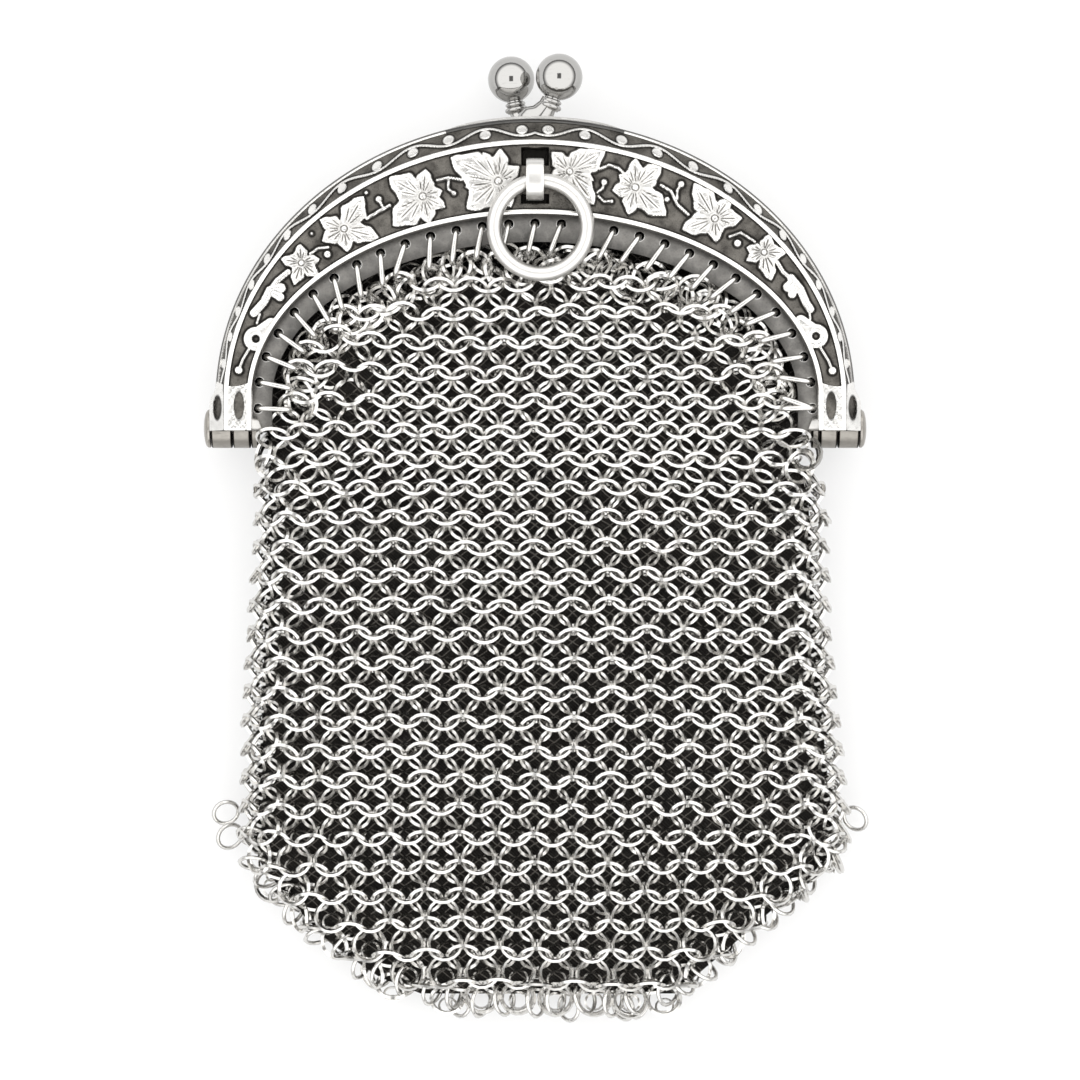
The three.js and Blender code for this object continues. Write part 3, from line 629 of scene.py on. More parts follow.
class Studio:
    """Builds node trees: shared effects as groups, and each finish as a material."""

    def __init__(self) -> None:
        """Start with no groups and no materials."""
        self.made: dict[FinishKind, Material] = {}
        self.wear = self.wear_group()
        self.weave = self.weave_group()

    @staticmethod
    def group(name: str, inputs: dict[str, str], outputs: dict[str, str]) -> Tree:
        """Make an empty node group with named sockets.

        Args:
            name: Name of the group.
            inputs: Socket name to socket type.
            outputs: Socket name to socket type.

        Returns:
            The group's tree, with its input and output nodes.
        """
        tree = bpy.data.node_groups.new(name, "ShaderNodeTree")
        for label, kind in inputs.items():
            tree.interface.new_socket(label, in_out="INPUT", socket_type=kind)
        for label, kind in outputs.items():
            tree.interface.new_socket(label, in_out="OUTPUT", socket_type=kind)
        tree.nodes.new("NodeGroupInput").name = "In"
        tree.nodes.new("NodeGroupOutput").name = "Out"
        return tree

    @staticmethod
    def node(tree: Tree, kind: str, **settings: object) -> bpy.types.Node:
        """Add a node and set its properties.

        Args:
            tree: Tree to add it to.
            kind: Blender's name of the node.
            **settings: Properties of the node.

        Returns:
            The node.
        """
        made = tree.nodes.new(kind)
        for label, value in settings.items():
            setattr(made, label, value)
        return made

    @classmethod
    def math(cls, tree: Tree, how: str, *values: object) -> Socket:
        """Add a Math node whose inputs are numbers or sockets.

        Args:
            tree: Tree to add it to.
            how: Operation of the node.
            *values: Numbers or sockets, in order.

        Returns:
            The result's socket.
        """
        made = cls.node(tree, "ShaderNodeMath", operation=how)
        for place, value in enumerate(values):
            cls.feed(tree, made.inputs[place], value)
        return made.outputs[0]

    @staticmethod
    def feed(tree: Tree, socket: Socket, value: object) -> None:
        """Link a socket's source, or set the socket's own value.

        Args:
            tree: Tree of the socket.
            socket: Socket to feed.
            value: Another socket, a number or a colour.
        """
        if isinstance(value, Socket):
            tree.links.new(value, socket)
        else:
            socket.default_value = value

    @classmethod
    def noise(cls, tree: Tree, where: Socket, scale: object, detail: float, rough: float) -> Socket:
        """Add a noise texture.

        Args:
            tree: Tree to add it to.
            where: Coordinates.
            scale: Scale, as a number or a socket.
            detail: Octaves.
            rough: Roughness of the octaves.

        Returns:
            The socket of its factor.
        """
        made = cls.node(tree, "ShaderNodeTexNoise")
        cls.feed(tree, made.inputs["Vector"], where)
        cls.feed(tree, made.inputs["Scale"], scale)
        made.inputs["Detail"].default_value = detail
        made.inputs["Roughness"].default_value = rough
        return made.outputs["Fac"]

    @classmethod
    def spread(cls, tree: Tree, value: Socket, low: float, high: float, to0: float, to1: float) -> Socket:
        """Map a value from one range to another, held at both ends.

        Args:
            tree: Tree to add the node to.
            value: Value to map.
            low: Value that becomes to0.
            high: Value that becomes to1.
            to0: Lowest result.
            to1: Highest result.

        Returns:
            The socket of the result.
        """
        made = cls.node(tree, "ShaderNodeMapRange", clamp=True)
        cls.feed(tree, made.inputs["Value"], value)
        for label, number in (("From Min", low), ("From Max", high), ("To Min", to0), ("To Max", to1)):
            made.inputs[label].default_value = number
        return made.outputs["Result"]

    @classmethod
    def mix(cls, tree: Tree, share: object, first: object, second: object) -> Socket:
        """Mix two colours.

        Args:
            tree: Tree to add the node to.
            share: Share of the second colour.
            first: First colour or socket.
            second: Second colour or socket.

        Returns:
            The socket of the mixed colour.
        """
        made = cls.node(tree, "ShaderNodeMix", data_type="RGBA")
        cls.feed(tree, made.inputs[0], share)
        for place, colour in ((6, first), (7, second)):
            cls.feed(tree, made.inputs[place], colour if isinstance(colour, Socket) else (*colour, 1.0))
        return made.outputs[2]

    def wear_group(self) -> Tree:
        """Make the worn metal effect: clouds of tarnish, long fine scratches and pits.

        Returns:
            A group from coordinates and scale to tarnish, scratches and pits.
        """
        tree = self.group(
            "metal_wear",
            {"Vector": "NodeSocketVector", "Scale": "NodeSocketFloat"},
            {"Tarnish": "NodeSocketFloat", "Scratch": "NodeSocketFloat", "Pits": "NodeSocketFloat"},
        )
        source, out = tree.nodes["In"], tree.nodes["Out"]
        where, scale = source.outputs["Vector"], source.outputs["Scale"]
        clouds = self.noise(tree, where, scale, 5.0, 0.62)
        tree.links.new(self.spread(tree, clouds, 0.38, 0.68, 0.0, 1.0), out.inputs["Tarnish"])
        stretch = self.node(tree, "ShaderNodeMapping")
        stretch.inputs["Rotation"].default_value = (0.2, 0.1, 0.7)
        stretch.inputs["Scale"].default_value = (1.0, 9.0, 2.0)
        tree.links.new(where, stretch.inputs["Vector"])
        lines = self.noise(tree, stretch.outputs[0], self.math(tree, "MULTIPLY", scale, 2.2), 3.0, 0.7)
        tree.links.new(self.spread(tree, lines, 0.58, 0.7, 0.0, 1.0), out.inputs["Scratch"])
        cells = self.node(tree, "ShaderNodeTexVoronoi", feature="F1")
        tree.links.new(where, cells.inputs["Vector"])
        tree.links.new(self.math(tree, "MULTIPLY", scale, 9.0), cells.inputs["Scale"])
        pits = self.spread(tree, cells.outputs["Distance"], 0.0, 0.55, 1.0, 0.0)
        tree.links.new(pits, out.inputs["Pits"])
        return tree

    def weave_group(self) -> Tree:
        """Make the plain weave effect: warp and weft waves at right angles, a little uneven.

        Returns:
            A group from coordinates and threads a metre to the threads' height.
        """
        tree = self.group(
            "plain_weave",
            {"Vector": "NodeSocketVector", "Threads": "NodeSocketFloat"},
            {"Height": "NodeSocketFloat"},
        )
        source, out = tree.nodes["In"], tree.nodes["Out"]
        split = self.node(tree, "ShaderNodeSeparateXYZ")
        tree.links.new(source.outputs["Vector"], split.inputs[0])
        uneven = self.noise(tree, source.outputs["Vector"], 700.0, 2.0, 0.5)
        waves = []
        for axis in (0, 1):
            turns = self.math(tree, "MULTIPLY", split.outputs[axis], source.outputs["Threads"])
            shift = self.math(tree, "MULTIPLY", uneven, 3.0)
            turns = self.math(tree, "MULTIPLY_ADD", turns, 2 * math.pi, shift)
            waves.append(self.math(tree, "SINE", turns))
        tree.links.new(self.math(tree, "MULTIPLY_ADD", waves[0], waves[1], 1.0), out.inputs["Height"])
        return tree

    def blank(self, kind: FinishKind) -> tuple[Material, Tree, bpy.types.Node]:
        """Make a material with a Principled shader.

        Args:
            kind: Finish that the material is for.

        Returns:
            The material, its tree and its shader node.
        """
        material = bpy.data.materials.new(kind.value)
        material.use_nodes = True
        tree = material.node_tree
        return material, tree, tree.nodes["Principled BSDF"]

    def metal(self, kind: FinishKind, look: MetalFinish) -> Material:
        """Dress silver: bright where relief is painted, grey on the ground and dark along outlines, which
        carry painted shade and a dark seam.

        Args:
            kind: Finish that the material is for.
            look: Its colours and gloss.

        Returns:
            The material.
        """
        material, tree, shader = self.blank(kind)
        where = self.node(tree, "ShaderNodeTexCoord").outputs["Object"]
        wear = self.node(tree, "ShaderNodeGroup", node_tree=self.wear)
        tree.links.new(where, wear.inputs["Vector"])
        wear.inputs["Scale"].default_value = look.grain
        paint = {
            name: self.node(tree, "ShaderNodeAttribute", attribute_name=name).outputs["Fac"]
            for name in ("relief", "outline", "shade")
        }
        tarnish, scratch, pits = (wear.outputs[name] for name in ("Tarnish", "Scratch", "Pits"))
        polish = self.mix(tree, self.math(tree, "MULTIPLY", tarnish, 0.16), look.bright, look.ground)
        polish = self.mix(tree, self.math(tree, "MULTIPLY", scratch, 0.12), polish, look.dark)
        low = self.mix(tree, self.math(tree, "MULTIPLY", tarnish, 0.75), look.ground, look.dark)
        low = self.mix(tree, self.math(tree, "MULTIPLY", pits, 0.45), low, look.dark)
        body = self.mix(tree, paint["relief"], low, polish)
        # Outline paint darkens to the dark colour: painted shade, and the dark seam.
        body = self.mix(tree, paint["outline"], body, look.dark)
        tint = self.spread(tree, paint["shade"], 0.0, 1.0, 0.0, 0.22)
        tree.links.new(self.mix(tree, tint, body, look.ground), shader.inputs["Base Color"])
        rough = self.math(tree, "MULTIPLY_ADD", tarnish, look.haze, look.gloss)
        ground = self.math(tree, "SUBTRACT", 1.0, paint["relief"])
        rough = self.math(tree, "MULTIPLY_ADD", ground, 0.2, rough)
        tree.links.new(rough, shader.inputs["Roughness"])
        shader.inputs["Metallic"].default_value = 1.0
        scores = self.math(tree, "MULTIPLY", self.math(tree, "MULTIPLY", scratch, paint["relief"]), 0.3)
        deep = self.spread(tree, paint["relief"], 0.0, 0.25, 1.0, 0.0)
        rough_ground = self.math(tree, "MULTIPLY", pits, deep)
        height = self.math(tree, "ADD", rough_ground, scores)
        relief = self.node(tree, "ShaderNodeBump")
        relief.inputs["Strength"].default_value = look.bump
        relief.inputs["Distance"].default_value = 0.00004
        tree.links.new(height, relief.inputs["Height"])
        tree.links.new(relief.outputs[0], shader.inputs["Normal"])
        return material

    def cloth(self) -> Material:
        """Dress the lining: near-black woven cloth, its dark also standing for the shade inside the bag,
        with pale lines at the rings' pitch that are partly rubs where the rings press and partly painted
        sheen.

        Returns:
            The material.
        """
        material, tree, shader = self.blank(FinishKind.CLOTH)
        where = self.node(tree, "ShaderNodeTexCoord").outputs["Object"]
        weave = self.node(tree, "ShaderNodeGroup", node_tree=self.weave)
        tree.links.new(where, weave.inputs["Vector"])
        weave.inputs["Threads"].default_value = 2600.0
        clouds = self.noise(tree, where, 260.0, 4.0, 0.6)
        rubs = self.spread(tree, self.noise(tree, where, 900.0, 3.0, 0.7), 0.55, 0.7, 0.0, 0.5)
        # Near-black cloth: its dark also stands for the shade inside the bag.
        colour = self.mix(tree, clouds, (0.006, 0.0055, 0.005), (0.02, 0.018, 0.016))
        colour = self.mix(tree, rubs, colour, (0.05, 0.047, 0.043))
        split = self.node(tree, "ShaderNodeSeparateXYZ")
        tree.links.new(where, split.inputs[0])
        lines = []
        for side in (1.0, -1.0):
            turns = self.math(tree, "MULTIPLY", split.outputs[0], side * math.pi / 0.00187)
            turns = self.math(tree, "MULTIPLY_ADD", split.outputs[1], math.pi / 0.00145, turns)
            turns = self.math(tree, "MULTIPLY_ADD", clouds, 2.2, turns)
            near = self.math(tree, "ABSOLUTE", self.math(tree, "SINE", turns))
            lines.append(self.spread(tree, near, 0.1, 0.22, 0.8, 0.0))
        # Pale lines at the rings' pitch: partly rubs where the rings press, partly painted sheen.
        rubs_and_sheen_lines = self.math(tree, "MAXIMUM", lines[0], lines[1])
        colour = self.mix(tree, rubs_and_sheen_lines, colour, (0.13, 0.12, 0.108))
        tree.links.new(colour, shader.inputs["Base Color"])
        tree.links.new(self.spread(tree, clouds, 0.0, 1.0, 0.75, 1.0), shader.inputs["Roughness"])
        shader.inputs["Specular IOR Level"].default_value = 0.15
        bump = self.node(tree, "ShaderNodeBump")
        bump.inputs["Strength"].default_value = 0.5
        bump.inputs["Distance"].default_value = 0.00008
        tree.links.new(weave.outputs["Height"], bump.inputs["Height"])
        tree.links.new(bump.outputs[0], shader.inputs["Normal"])
        return material

    def paper(self) -> Material:
        """Dress the floor: white paper with a faint grain.

        Returns:
            The material.
        """
        material, tree, shader = self.blank(FinishKind.FLOOR)
        where = self.node(tree, "ShaderNodeTexCoord").outputs["Object"]
        grain = self.noise(tree, where, 40.0, 3.0, 0.5)
        colour = self.mix(tree, grain, (0.33, 0.33, 0.33), (0.35, 0.35, 0.35))
        tree.links.new(colour, shader.inputs["Base Color"])
        shader.inputs["Roughness"].default_value = 0.9
        shader.inputs["Specular IOR Level"].default_value = 0.1
        shader.inputs["Emission Color"].default_value = (1.0, 1.0, 1.0, 1.0)
        shader.inputs["Emission Strength"].default_value = 0.6
        return material

    def finish(self, kind: FinishKind) -> Material:
        """Return a finish's material, made on first use.

        Args:
            kind: Finish to return.

        Returns:
            The material.
        """
        if kind not in self.made:
            if kind is FinishKind.CLOTH:
                self.made[kind] = self.cloth()
            elif kind is FinishKind.FLOOR:
                self.made[kind] = self.paper()
            else:
                self.made[kind] = self.metal(kind, METALS[kind])
        return self.made[kind]


METALS = {
    FinishKind.CAST: MetalFinish(
        (0.88, 0.87, 0.85), (0.17, 0.16, 0.145), (0.012, 0.011, 0.01), 0.24, 0.08, 520.0, 0.9
    ),
    FinishKind.POLISHED: MetalFinish(
        (0.45, 0.445, 0.435), (0.42, 0.41, 0.4), (0.14, 0.13, 0.12), 0.06, 0.05, 260.0, 0.05
    ),
    FinishKind.SATIN: MetalFinish(
        (0.74, 0.73, 0.71), (0.5, 0.49, 0.47), (0.14, 0.13, 0.12), 0.33, 0.08, 260.0, 0.1
    ),
    FinishKind.HINGE: MetalFinish(
        (0.4, 0.38, 0.35), (0.1, 0.09, 0.08), (0.015, 0.013, 0.011), 0.25, 0.2, 500.0, 0.9
    ),
    FinishKind.WIRE: MetalFinish(
        (0.74, 0.73, 0.71), (0.42, 0.41, 0.39), (0.1, 0.095, 0.09), 0.16, 0.1, 700.0, 0.15
    ),
}


def show(
    studio: Studio,
    name: str,
    surface: Surface,
    kind: FinishKind,
    nodes: tuple[str, ...],
    body: Body = Body.PURSE,
    sharp: float = 38.0,
) -> bpy.types.Object:
    """Make a mesh object of a surface, dress it and tie it to the frame.

    Args:
        studio: Where its material comes from.
        name: Name of the piece.
        surface: Its points and faces in millimetres.
        kind: Its finish.
        nodes: CAD nodes that it stands for.
        body: Body that it rides on.
        sharp: Edges that turn by more than this angle in degrees stay sharp.

    Returns:
        The object.
    """
    mesh = bpy.data.meshes.new(name)
    points = (surface.points + (0.0, ARCH_CENTRE_Y, 0.0)) * METRES
    corners = np.concatenate([surface.quads.ravel(), surface.tris.ravel()]).astype(np.int32)
    sizes = np.concatenate([np.full(len(surface.quads), 4), np.full(len(surface.tris), 3)])
    starts = np.concatenate([[0], np.cumsum(sizes)[:-1]]).astype(np.int32)
    mesh.vertices.add(len(points))
    mesh.vertices.foreach_set("co", points.astype(np.float32).ravel())
    mesh.loops.add(len(corners))
    mesh.loops.foreach_set("vertex_index", corners)
    mesh.polygons.add(len(sizes))
    mesh.polygons.foreach_set("loop_start", starts)
    # The outline attribute carries painted shade and dark seams; shade is a random tone per ring.
    for label in ("relief", "outline", "shade"):
        default = 1.0 if label == "relief" else 0.0
        values = surface.paint.get(label, np.full(len(points), default))
        mesh.attributes.new(label, "FLOAT", "POINT").data.foreach_set("value", values.astype(np.float32))
    mesh.update(calc_edges=True)
    mesh.validate()
    mesh.shade_smooth()
    mesh.set_sharp_from_angle(angle=math.radians(sharp))
    mesh.materials.append(studio.finish(kind))
    piece = bpy.data.objects.new(name, mesh)
    bpy.context.scene.collection.objects.link(piece)
    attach(piece, body.value)
    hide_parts(*nodes)
    LOG.info("%s: %d faces", name, len(sizes))
    return piece


def lath(count: int) -> tuple[Array, Array, Array]:
    """Place the lath under the clasp along the arch's outer line, with a rise of 1 - (x / half)^6.

    Args:
        count: Stations along it.

    Returns:
        X of each station, the arch's height there and how far the lath rises above it.
    """
    x = np.linspace(-LATH_HALF, LATH_HALF, count)
    crest = OUTER.top * np.sqrt(1 - (x / OUTER.side) ** 2)
    return x, crest, LATH_RISE * np.clip(1 - (np.abs(x) / LATH_HALF) ** 6, 0.02, 1)


@dataclass
class FrontFrame:
    """The cast front half: border with vine, band with relief, flange, plates, knuckles and strip."""

    studio: Studio
    relief: CastRelief = field(default_factory=CastRelief)
    relief_height: float = 0.34
    vine_height: float = 0.26
    wall: float = 0.9
    slot_half: float = 1.33
    strip_half: float = 8.9
    slots: tuple[tuple[float, float], ...] = ((23.2, 24.9), (19.4, 20.3))
    buds: Shares = (
        -4.35, 2.4, 9.15, 16.0, 22.95, 30.2, 38.0, 45.2, 52.2, 58.6, 64.7, 71.0, 76.5, 82.4, 88.0
    )

    def border(self) -> Surface:
        """Build the outer wall and the sloped border, with a vine and its buds raised on the slope, and
        painted shade on the wall, at the slope's edges and round the vine.

        The vine's place across the slope is 0.5 - 0.27 cos(pi k) for the count k of buds passed, and a
        stalk joins each bud to it.

        Returns:
            The closed border.
        """
        places = Stations.even(980, 30)
        side, top, z = section(
            [(OUTER, 0, 5.75), (OUTER, -0.03, 9.3), (OUTER, -0.16, 9.6), (OUTER, -0.27, 9.74),
             (OUTER, -0.4, 9.7), (BORDER, 0.26, 11.34), (BORDER, 0.2, 11.55), (BORDER, 0, 11.65),
             (BORDER, -0.2, 11.55), (BORDER, -0.28, 11.3)],
            [4, 1, 1, 1, 34, 1, 2, 2, 1],
        )
        grid = places.grid(side, top, z)
        first, last = 7, 41
        slope = (np.arange(len(side)) > first) & (np.arange(len(side)) < last)
        share = np.clip((np.arange(len(side)) - first) / (last - first), 0, 1)
        angle = np.degrees(np.arctan2(places.sin, places.cos))
        from_top = np.abs(angle - 90)
        passed = np.interp(from_top, self.buds, np.arange(len(self.buds)) - 2.0)
        width = np.hypot(places.cos * 0.85, places.sin * 2.15)
        across = share[None] * width[:, None]
        middle = grid[:, (first + last) // 2]
        run = walked(middle)
        vine = (0.5 - 0.27 * np.cos(np.pi * passed)) * width
        lean = np.abs(np.gradient(vine, run + 1e-9 * np.arange(len(run))))
        depth = 0.15 - np.abs(across - vine[:, None]) / np.sqrt(1 + np.minimum(lean, 3) ** 2)[:, None]
        nearest = np.clip(np.round(passed), -1, len(self.buds) - 4)
        bud = (0.5 + 0.06 * np.cos(np.pi * nearest)) * width
        per_bud = np.abs(np.gradient(run, passed + 1e-9 * np.arange(len(run))))
        along = (passed - nearest) * np.clip(per_bud, 2.5, 4.0)
        size = 0.38 + 0.085 * width[:, None]
        buds = size - np.hypot(along[:, None], across - bud[:, None])
        root = (0.5 - 0.27 * np.cos(np.pi * nearest)) * width
        near, far = np.minimum(bud, root)[:, None], np.maximum(bud, root)[:, None]
        between = np.minimum(across - near, far - across)
        stalks = np.minimum(0.15 - np.abs(along)[:, None], between)
        inside = np.maximum(np.maximum(depth, stalks), buds)
        inside = np.where((from_top[:, None] > 87.0) | ~slope[None], -1.0, inside)
        up = smooth(-0.05, 0.06, inside)
        grid[:, :, 2] += self.vine_height * up * (0.8 + 0.2 * smooth(0, 0.3, inside))
        # Painted shadow round the vine, its stalks and buds, and painted shade along both edges of the
        # slope.
        outline = np.exp(-(((inside + 0.09) / 0.07) ** 2))
        edges = np.exp(-((across / 0.09) ** 2)) + np.exp(-(((width[:, None] - across) / 0.09) ** 2))
        outline = np.where(slope[None], np.maximum(outline, edges) * (1 - up), 0)
        columns = np.arange(len(side))
        seam = (np.abs(grid[:, :, 0]) < self.strip_half) & (columns >= 5) & (columns <= 8)
        wall = (columns <= 5)[None]
        # The outer wall gets painted shade: a dark outline and little polish.
        outline = np.where(seam, 0.9, np.where(wall, 0.5, outline))
        polish = np.where(slope[None], up, np.where(wall, 0.15, 1.0))
        inner = places.grid(
            *section(
                [(OUTER, -self.wall, 5.75), (OUTER, -self.wall, 9.2), (BORDER, 0.1, 10.5),
                 (BORDER, -0.28, 10.5)],
                [1, 1, 1],
            )
        )
        return plate(grid, inner, polish, outline)

    def band(self) -> Surface:
        """Build the flat band with its cast relief, the inner rim and the step down to the flange.

        Returns:
            The closed band, with two sunk slots for the bail, painted dark inside as painted shade.
        """
        places = Stations.even(1120, 30)
        side, top, z = section(
            [(BORDER, -0.15, 11.3), (BORDER, -0.28, FACE_Z), (BAND, 0.28, FACE_Z), (BAND, 0.2, 11.58),
             (BAND, 0, 11.65), (BAND, -0.2, 11.58), (BAND, -0.28, 11.4), (BAND, -0.3, 9.6)],
            [1, 64, 1, 2, 2, 1, 3],
        )
        grid = places.grid(side, top, z)
        x, y = grid[:, :, 0], grid[:, :, 1]
        up, polish, outline = self.relief.height(x, y)
        columns = np.arange(len(side))
        ground = ((columns >= 1) & (columns <= 65))[None]
        stop = smooth(0.4, 1.6, y)
        slot = np.zeros(x.shape)
        for low, high in self.slots:
            inside = np.minimum(self.slot_half - np.abs(x), np.minimum(y - low, high - y))
            slot = np.maximum(slot, smooth(-0.04, 0.06, inside))
        up = np.where(ground, up * stop, 0) * (1 - slot)
        grid[:, :, 2] += self.relief_height * up - 0.85 * np.where(ground, slot, 0)
        width = np.hypot(places.cos * 1.69, places.sin * 6.34)[:, None]
        across = np.clip((columns - 1) / 64, 0, 1)[None] * width
        # Painted shade along the creases at both edges of the band, added to the relief's painted shadow.
        band_edge_shade = np.exp(-((across / 0.1) ** 2)) + np.exp(-(((width - across) / 0.1) ** 2))
        dark = np.where(ground, np.maximum(outline * stop, band_edge_shade * (1 - up)), 0)
        # The slots' pits are painted dark: painted shade standing for the open holes.
        dark = np.maximum(dark, np.where(ground, slot, 0))
        shine = np.where(ground, polish * stop * (1 - slot), 1.0)
        shine = np.where(columns[None] >= 71, 0.15, shine)
        inner = places.grid(
            *section(
                [(BORDER, -0.15, 10.5), (BAND, 0.45, 10.5), (BAND, 0.45, 9.4)],
                [1, 1],
            )
        )
        return plate(grid, inner, shine, dark)

    def end_plate(self, side: int) -> Surface:
        """Build the block at a foot of the arch: flat top, sloped flank, an oval and a half-oval sunk in.

        Args:
            side: 1 at the right and -1 at the left.

        Returns:
            The closed block, with painted shade round its sunk ovals.
        """
        u = np.linspace(0, 1, 74)[:, None]
        v = np.linspace(0, 1, 74)[None]
        y_top = 1.25 + 0.55 * (2 * u - 1) ** 2
        y = -LEG + (y_top + LEG) * v
        outer = 31.85 + 0.6 * (1 - smooth(-0.4, 1.3, y)) - 0.12 * smooth(0.94, 1.0, v)
        x = 28.1 + (outer - 28.1) * u
        crest = 30.66
        slope = np.clip((x - crest) / (outer - crest), 0, 1)
        rounded_edge = 0.12 * np.exp(-(((x - 28.1) / 0.1) ** 2))
        z = 11.55 - 1.95 * slope - rounded_edge - 0.1 * (1 - smooth(0, 0.04, v))
        oval = 1 - np.hypot((x - 29.38) / 0.47, (y + 0.66) / 1.32)
        shallow = 1 - np.hypot((x - 31.6) / 0.42, (y + 0.85) / 1.15)
        sunk = np.maximum(smooth(-0.06, 0.14, oval), smooth(-0.08, 0.12, shallow))
        z = z - 0.38 * sunk
        under = np.maximum(5.8, 5.7 + np.sqrt(np.maximum(1.9**2 - (y + 2.8) ** 2, 0)))
        ripple = 0.02 * np.sin(7 * x + 2 * side) * np.sin(6 * y)
        top = np.stack([side * (x + 0 * y), y + 0 * x, z + ripple * (1 - sunk)], -1)
        low = np.stack([side * (x + 0 * y), y + 0 * x, under + 0 * x], -1)
        ring = np.exp(-(((oval + 0.05) / 0.09) ** 2)) + np.exp(-(((shallow + 0.06) / 0.1) ** 2))
        return plate(top, low, 0.95 * (1 - sunk), 0.8 * ring * (1 - sunk * 0.3))

    def toe(self, side: int) -> Surface:
        """Build the little wedge beside the plate's foot, rounded on its crown.

        Args:
            side: 1 at the right and -1 at the left.

        Returns:
            The closed wedge.
        """
        u = np.linspace(0, 1, 16)[:, None]
        v = np.linspace(0, 1, 16)[None]
        x = 28.3 - (1.15 - 0.5 * v) * u
        y = -LEG + 1.3 * v + 0 * u
        z = 10.75 - 0.35 * u - 0.3 * (2 * v - 1) ** 4
        top = np.stack([side * x, y, z], -1)
        low = np.stack([side * x, y, 0 * x + 9.2], -1)
        return plate(top, low).worn(0.55)

    def strip(self) -> Surface:
        """Build the lath under the clasp: it follows the arch and tapers to nothing at its ends.

        Returns:
            The closed lath.
        """
        x, crest, rise = lath(120)
        t = np.linspace(0, np.pi, 9)
        y = (crest + rise)[:, None] - 0.12 * (1 - np.sin(t))[None]
        z = np.linspace(5.75, 8.9, 9)[None] + 0 * y
        top = np.stack([x[:, None] + 0 * y, y, z], -1)
        low = np.stack([x[:, None] + 0 * y, (crest - LATH_SUNK)[:, None] + 0 * y, z], -1)
        return plate(top, low).worn(0.8)

    def build(self) -> None:
        """Build and dress every piece of the front half."""
        node = ("frame_front",)
        show(self.studio, "frame_front_border", self.border(), FinishKind.CAST, node)
        show(self.studio, "frame_front_band", self.band(), FinishKind.CAST, node)
        show(self.studio, "frame_front_flange", Flange(FRONT_FLANGE_Z).build(), FinishKind.CAST, node)
        for side, word in ((-1, "left"), (1, "right")):
            block = joined([self.end_plate(side), self.toe(side)])
            show(self.studio, f"frame_front_plate_{word}", block, FinishKind.CAST, node)
            knuckles = Hinge(side).knuckles(Half.FRONT)
            show(self.studio, f"frame_front_knuckles_{word}", knuckles, FinishKind.HINGE, node)
        show(self.studio, "frame_front_strip", self.strip(), FinishKind.CAST, node)


@dataclass(frozen=True)
class Flange:
    """The strip inside the band with the row of small round holes for the hangers."""

    z: float
    thickness: float = 0.7
    hole: float = 0.425
    count: int = 29
    start: float = 0.9

    def places(self) -> tuple[Array, Array, Array]:
        """Space the holes evenly along the hole line, from one leg round to the other.

        Returns:
            Each hole's angle on the line, its drop down a leg, and the inward direction there.
        """
        angle = np.linspace(0, np.pi, 1201)
        x, y = HOLES.side * np.cos(angle), HOLES.top * np.sin(angle)
        run = np.concatenate([[0], np.cumsum(np.hypot(np.diff(x), np.diff(y)))]) + self.start
        goal = np.linspace(0, run[-1] + self.start, self.count)
        at = np.interp(goal, run, angle)
        drop = np.maximum(self.start - goal, 0) + np.maximum(goal - run[-1], 0)
        inward = -np.stack([np.cos(at) / HOLES.side, np.sin(at) / HOLES.top], -1)
        return at, drop, inward / np.linalg.norm(inward, axis=1)[:, None]

    def centres(self) -> Array:
        """Return the middle of each hole in the plane of the flange."""
        at, drop, _ = self.places()
        return np.stack([HOLES.side * np.cos(at), HOLES.top * np.sin(at) - drop], -1)

    def build(self) -> Surface:
        """Build one cell round each hole, from a square rim in to the hole's round edge.

        Returns:
            The closed flange, painted dark down its holes and along the band's edge as painted shade.
        """
        at, drop, _ = self.places()
        run = np.where(drop > 0, np.where(at < 1, -drop / 26, np.pi + drop / 26), at)
        edges = np.concatenate([[-LEG / 26], (run[1:] + run[:-1]) / 2, [np.pi + LEG / 26]])
        steps = np.linspace(0, 1, 5)[:-1]
        along = np.concatenate([steps, np.ones(4), 1 - steps, np.zeros(4)])
        across = np.concatenate([np.zeros(4), steps, np.ones(4), 1 - steps])
        t = edges[:-1, None] + (edges[1:] - edges[:-1])[:, None] * along[None]
        down = 26 * (np.maximum(-t, 0) + np.maximum(t - np.pi, 0))
        held = np.clip(t, 0, np.pi)
        start = BAND.inset(0.15, 0.15)
        side = start.side + (LIP.side - start.side) * across
        top = start.top + (LIP.top - start.top) * across
        rim = np.stack([side * np.cos(held), top * np.sin(held) - down], -1)
        middle = self.centres()[:, None]
        out = rim - middle
        out = out / np.linalg.norm(out, axis=2)[:, :, None]
        high, low = self.z + self.thickness / 2, self.z - self.thickness / 2
        rings = [
            (rim, high),
            (middle + out * (self.hole + 0.16), high),
            (middle + out * (self.hole + 0.06), high + 0.05),
            (middle + out * self.hole, high - 0.05),
            (middle + out * self.hole, low),
            (rim, low),
        ]
        stack = np.stack([np.concatenate([xy, np.full((*xy.shape[:2], 1), z)], -1) for xy, z in rings], 1)
        count, layers, around = stack.shape[:3]
        index = np.arange(layers * around).reshape(layers, around)
        beside = np.roll(index, -1, 1)
        nxt, nxt_beside = np.roll(index, -1, 0), np.roll(beside, -1, 0)
        cell = np.stack([index, beside, nxt_beside, nxt], -1)
        starts = (np.arange(count) * layers * around)[:, None, None]
        faces = cell.reshape(-1, 4)[None] + starts
        polish = np.array([0.16, 0.2, 0.75, 0.3, 0.0, 0.0])
        # Painted shade: the holes' walls are dark.
        outline = np.repeat([0.0, 0.25, 0.0, 0.9, 1.0, 0.0], around).reshape(layers, around)
        # Painted shadow under the band's edge, fainter at the lip.
        outline[0] = np.where(across < 0.01, 0.85, np.where(across > 0.99, 0.45, 0.1))
        return Surface(
            stack.reshape(-1, 3),
            faces.reshape(-1, 4),
            paint={
                "relief": np.tile(np.repeat(polish, around), count),
                "outline": np.tile(outline.ravel(), count),
            },
        ).outward()


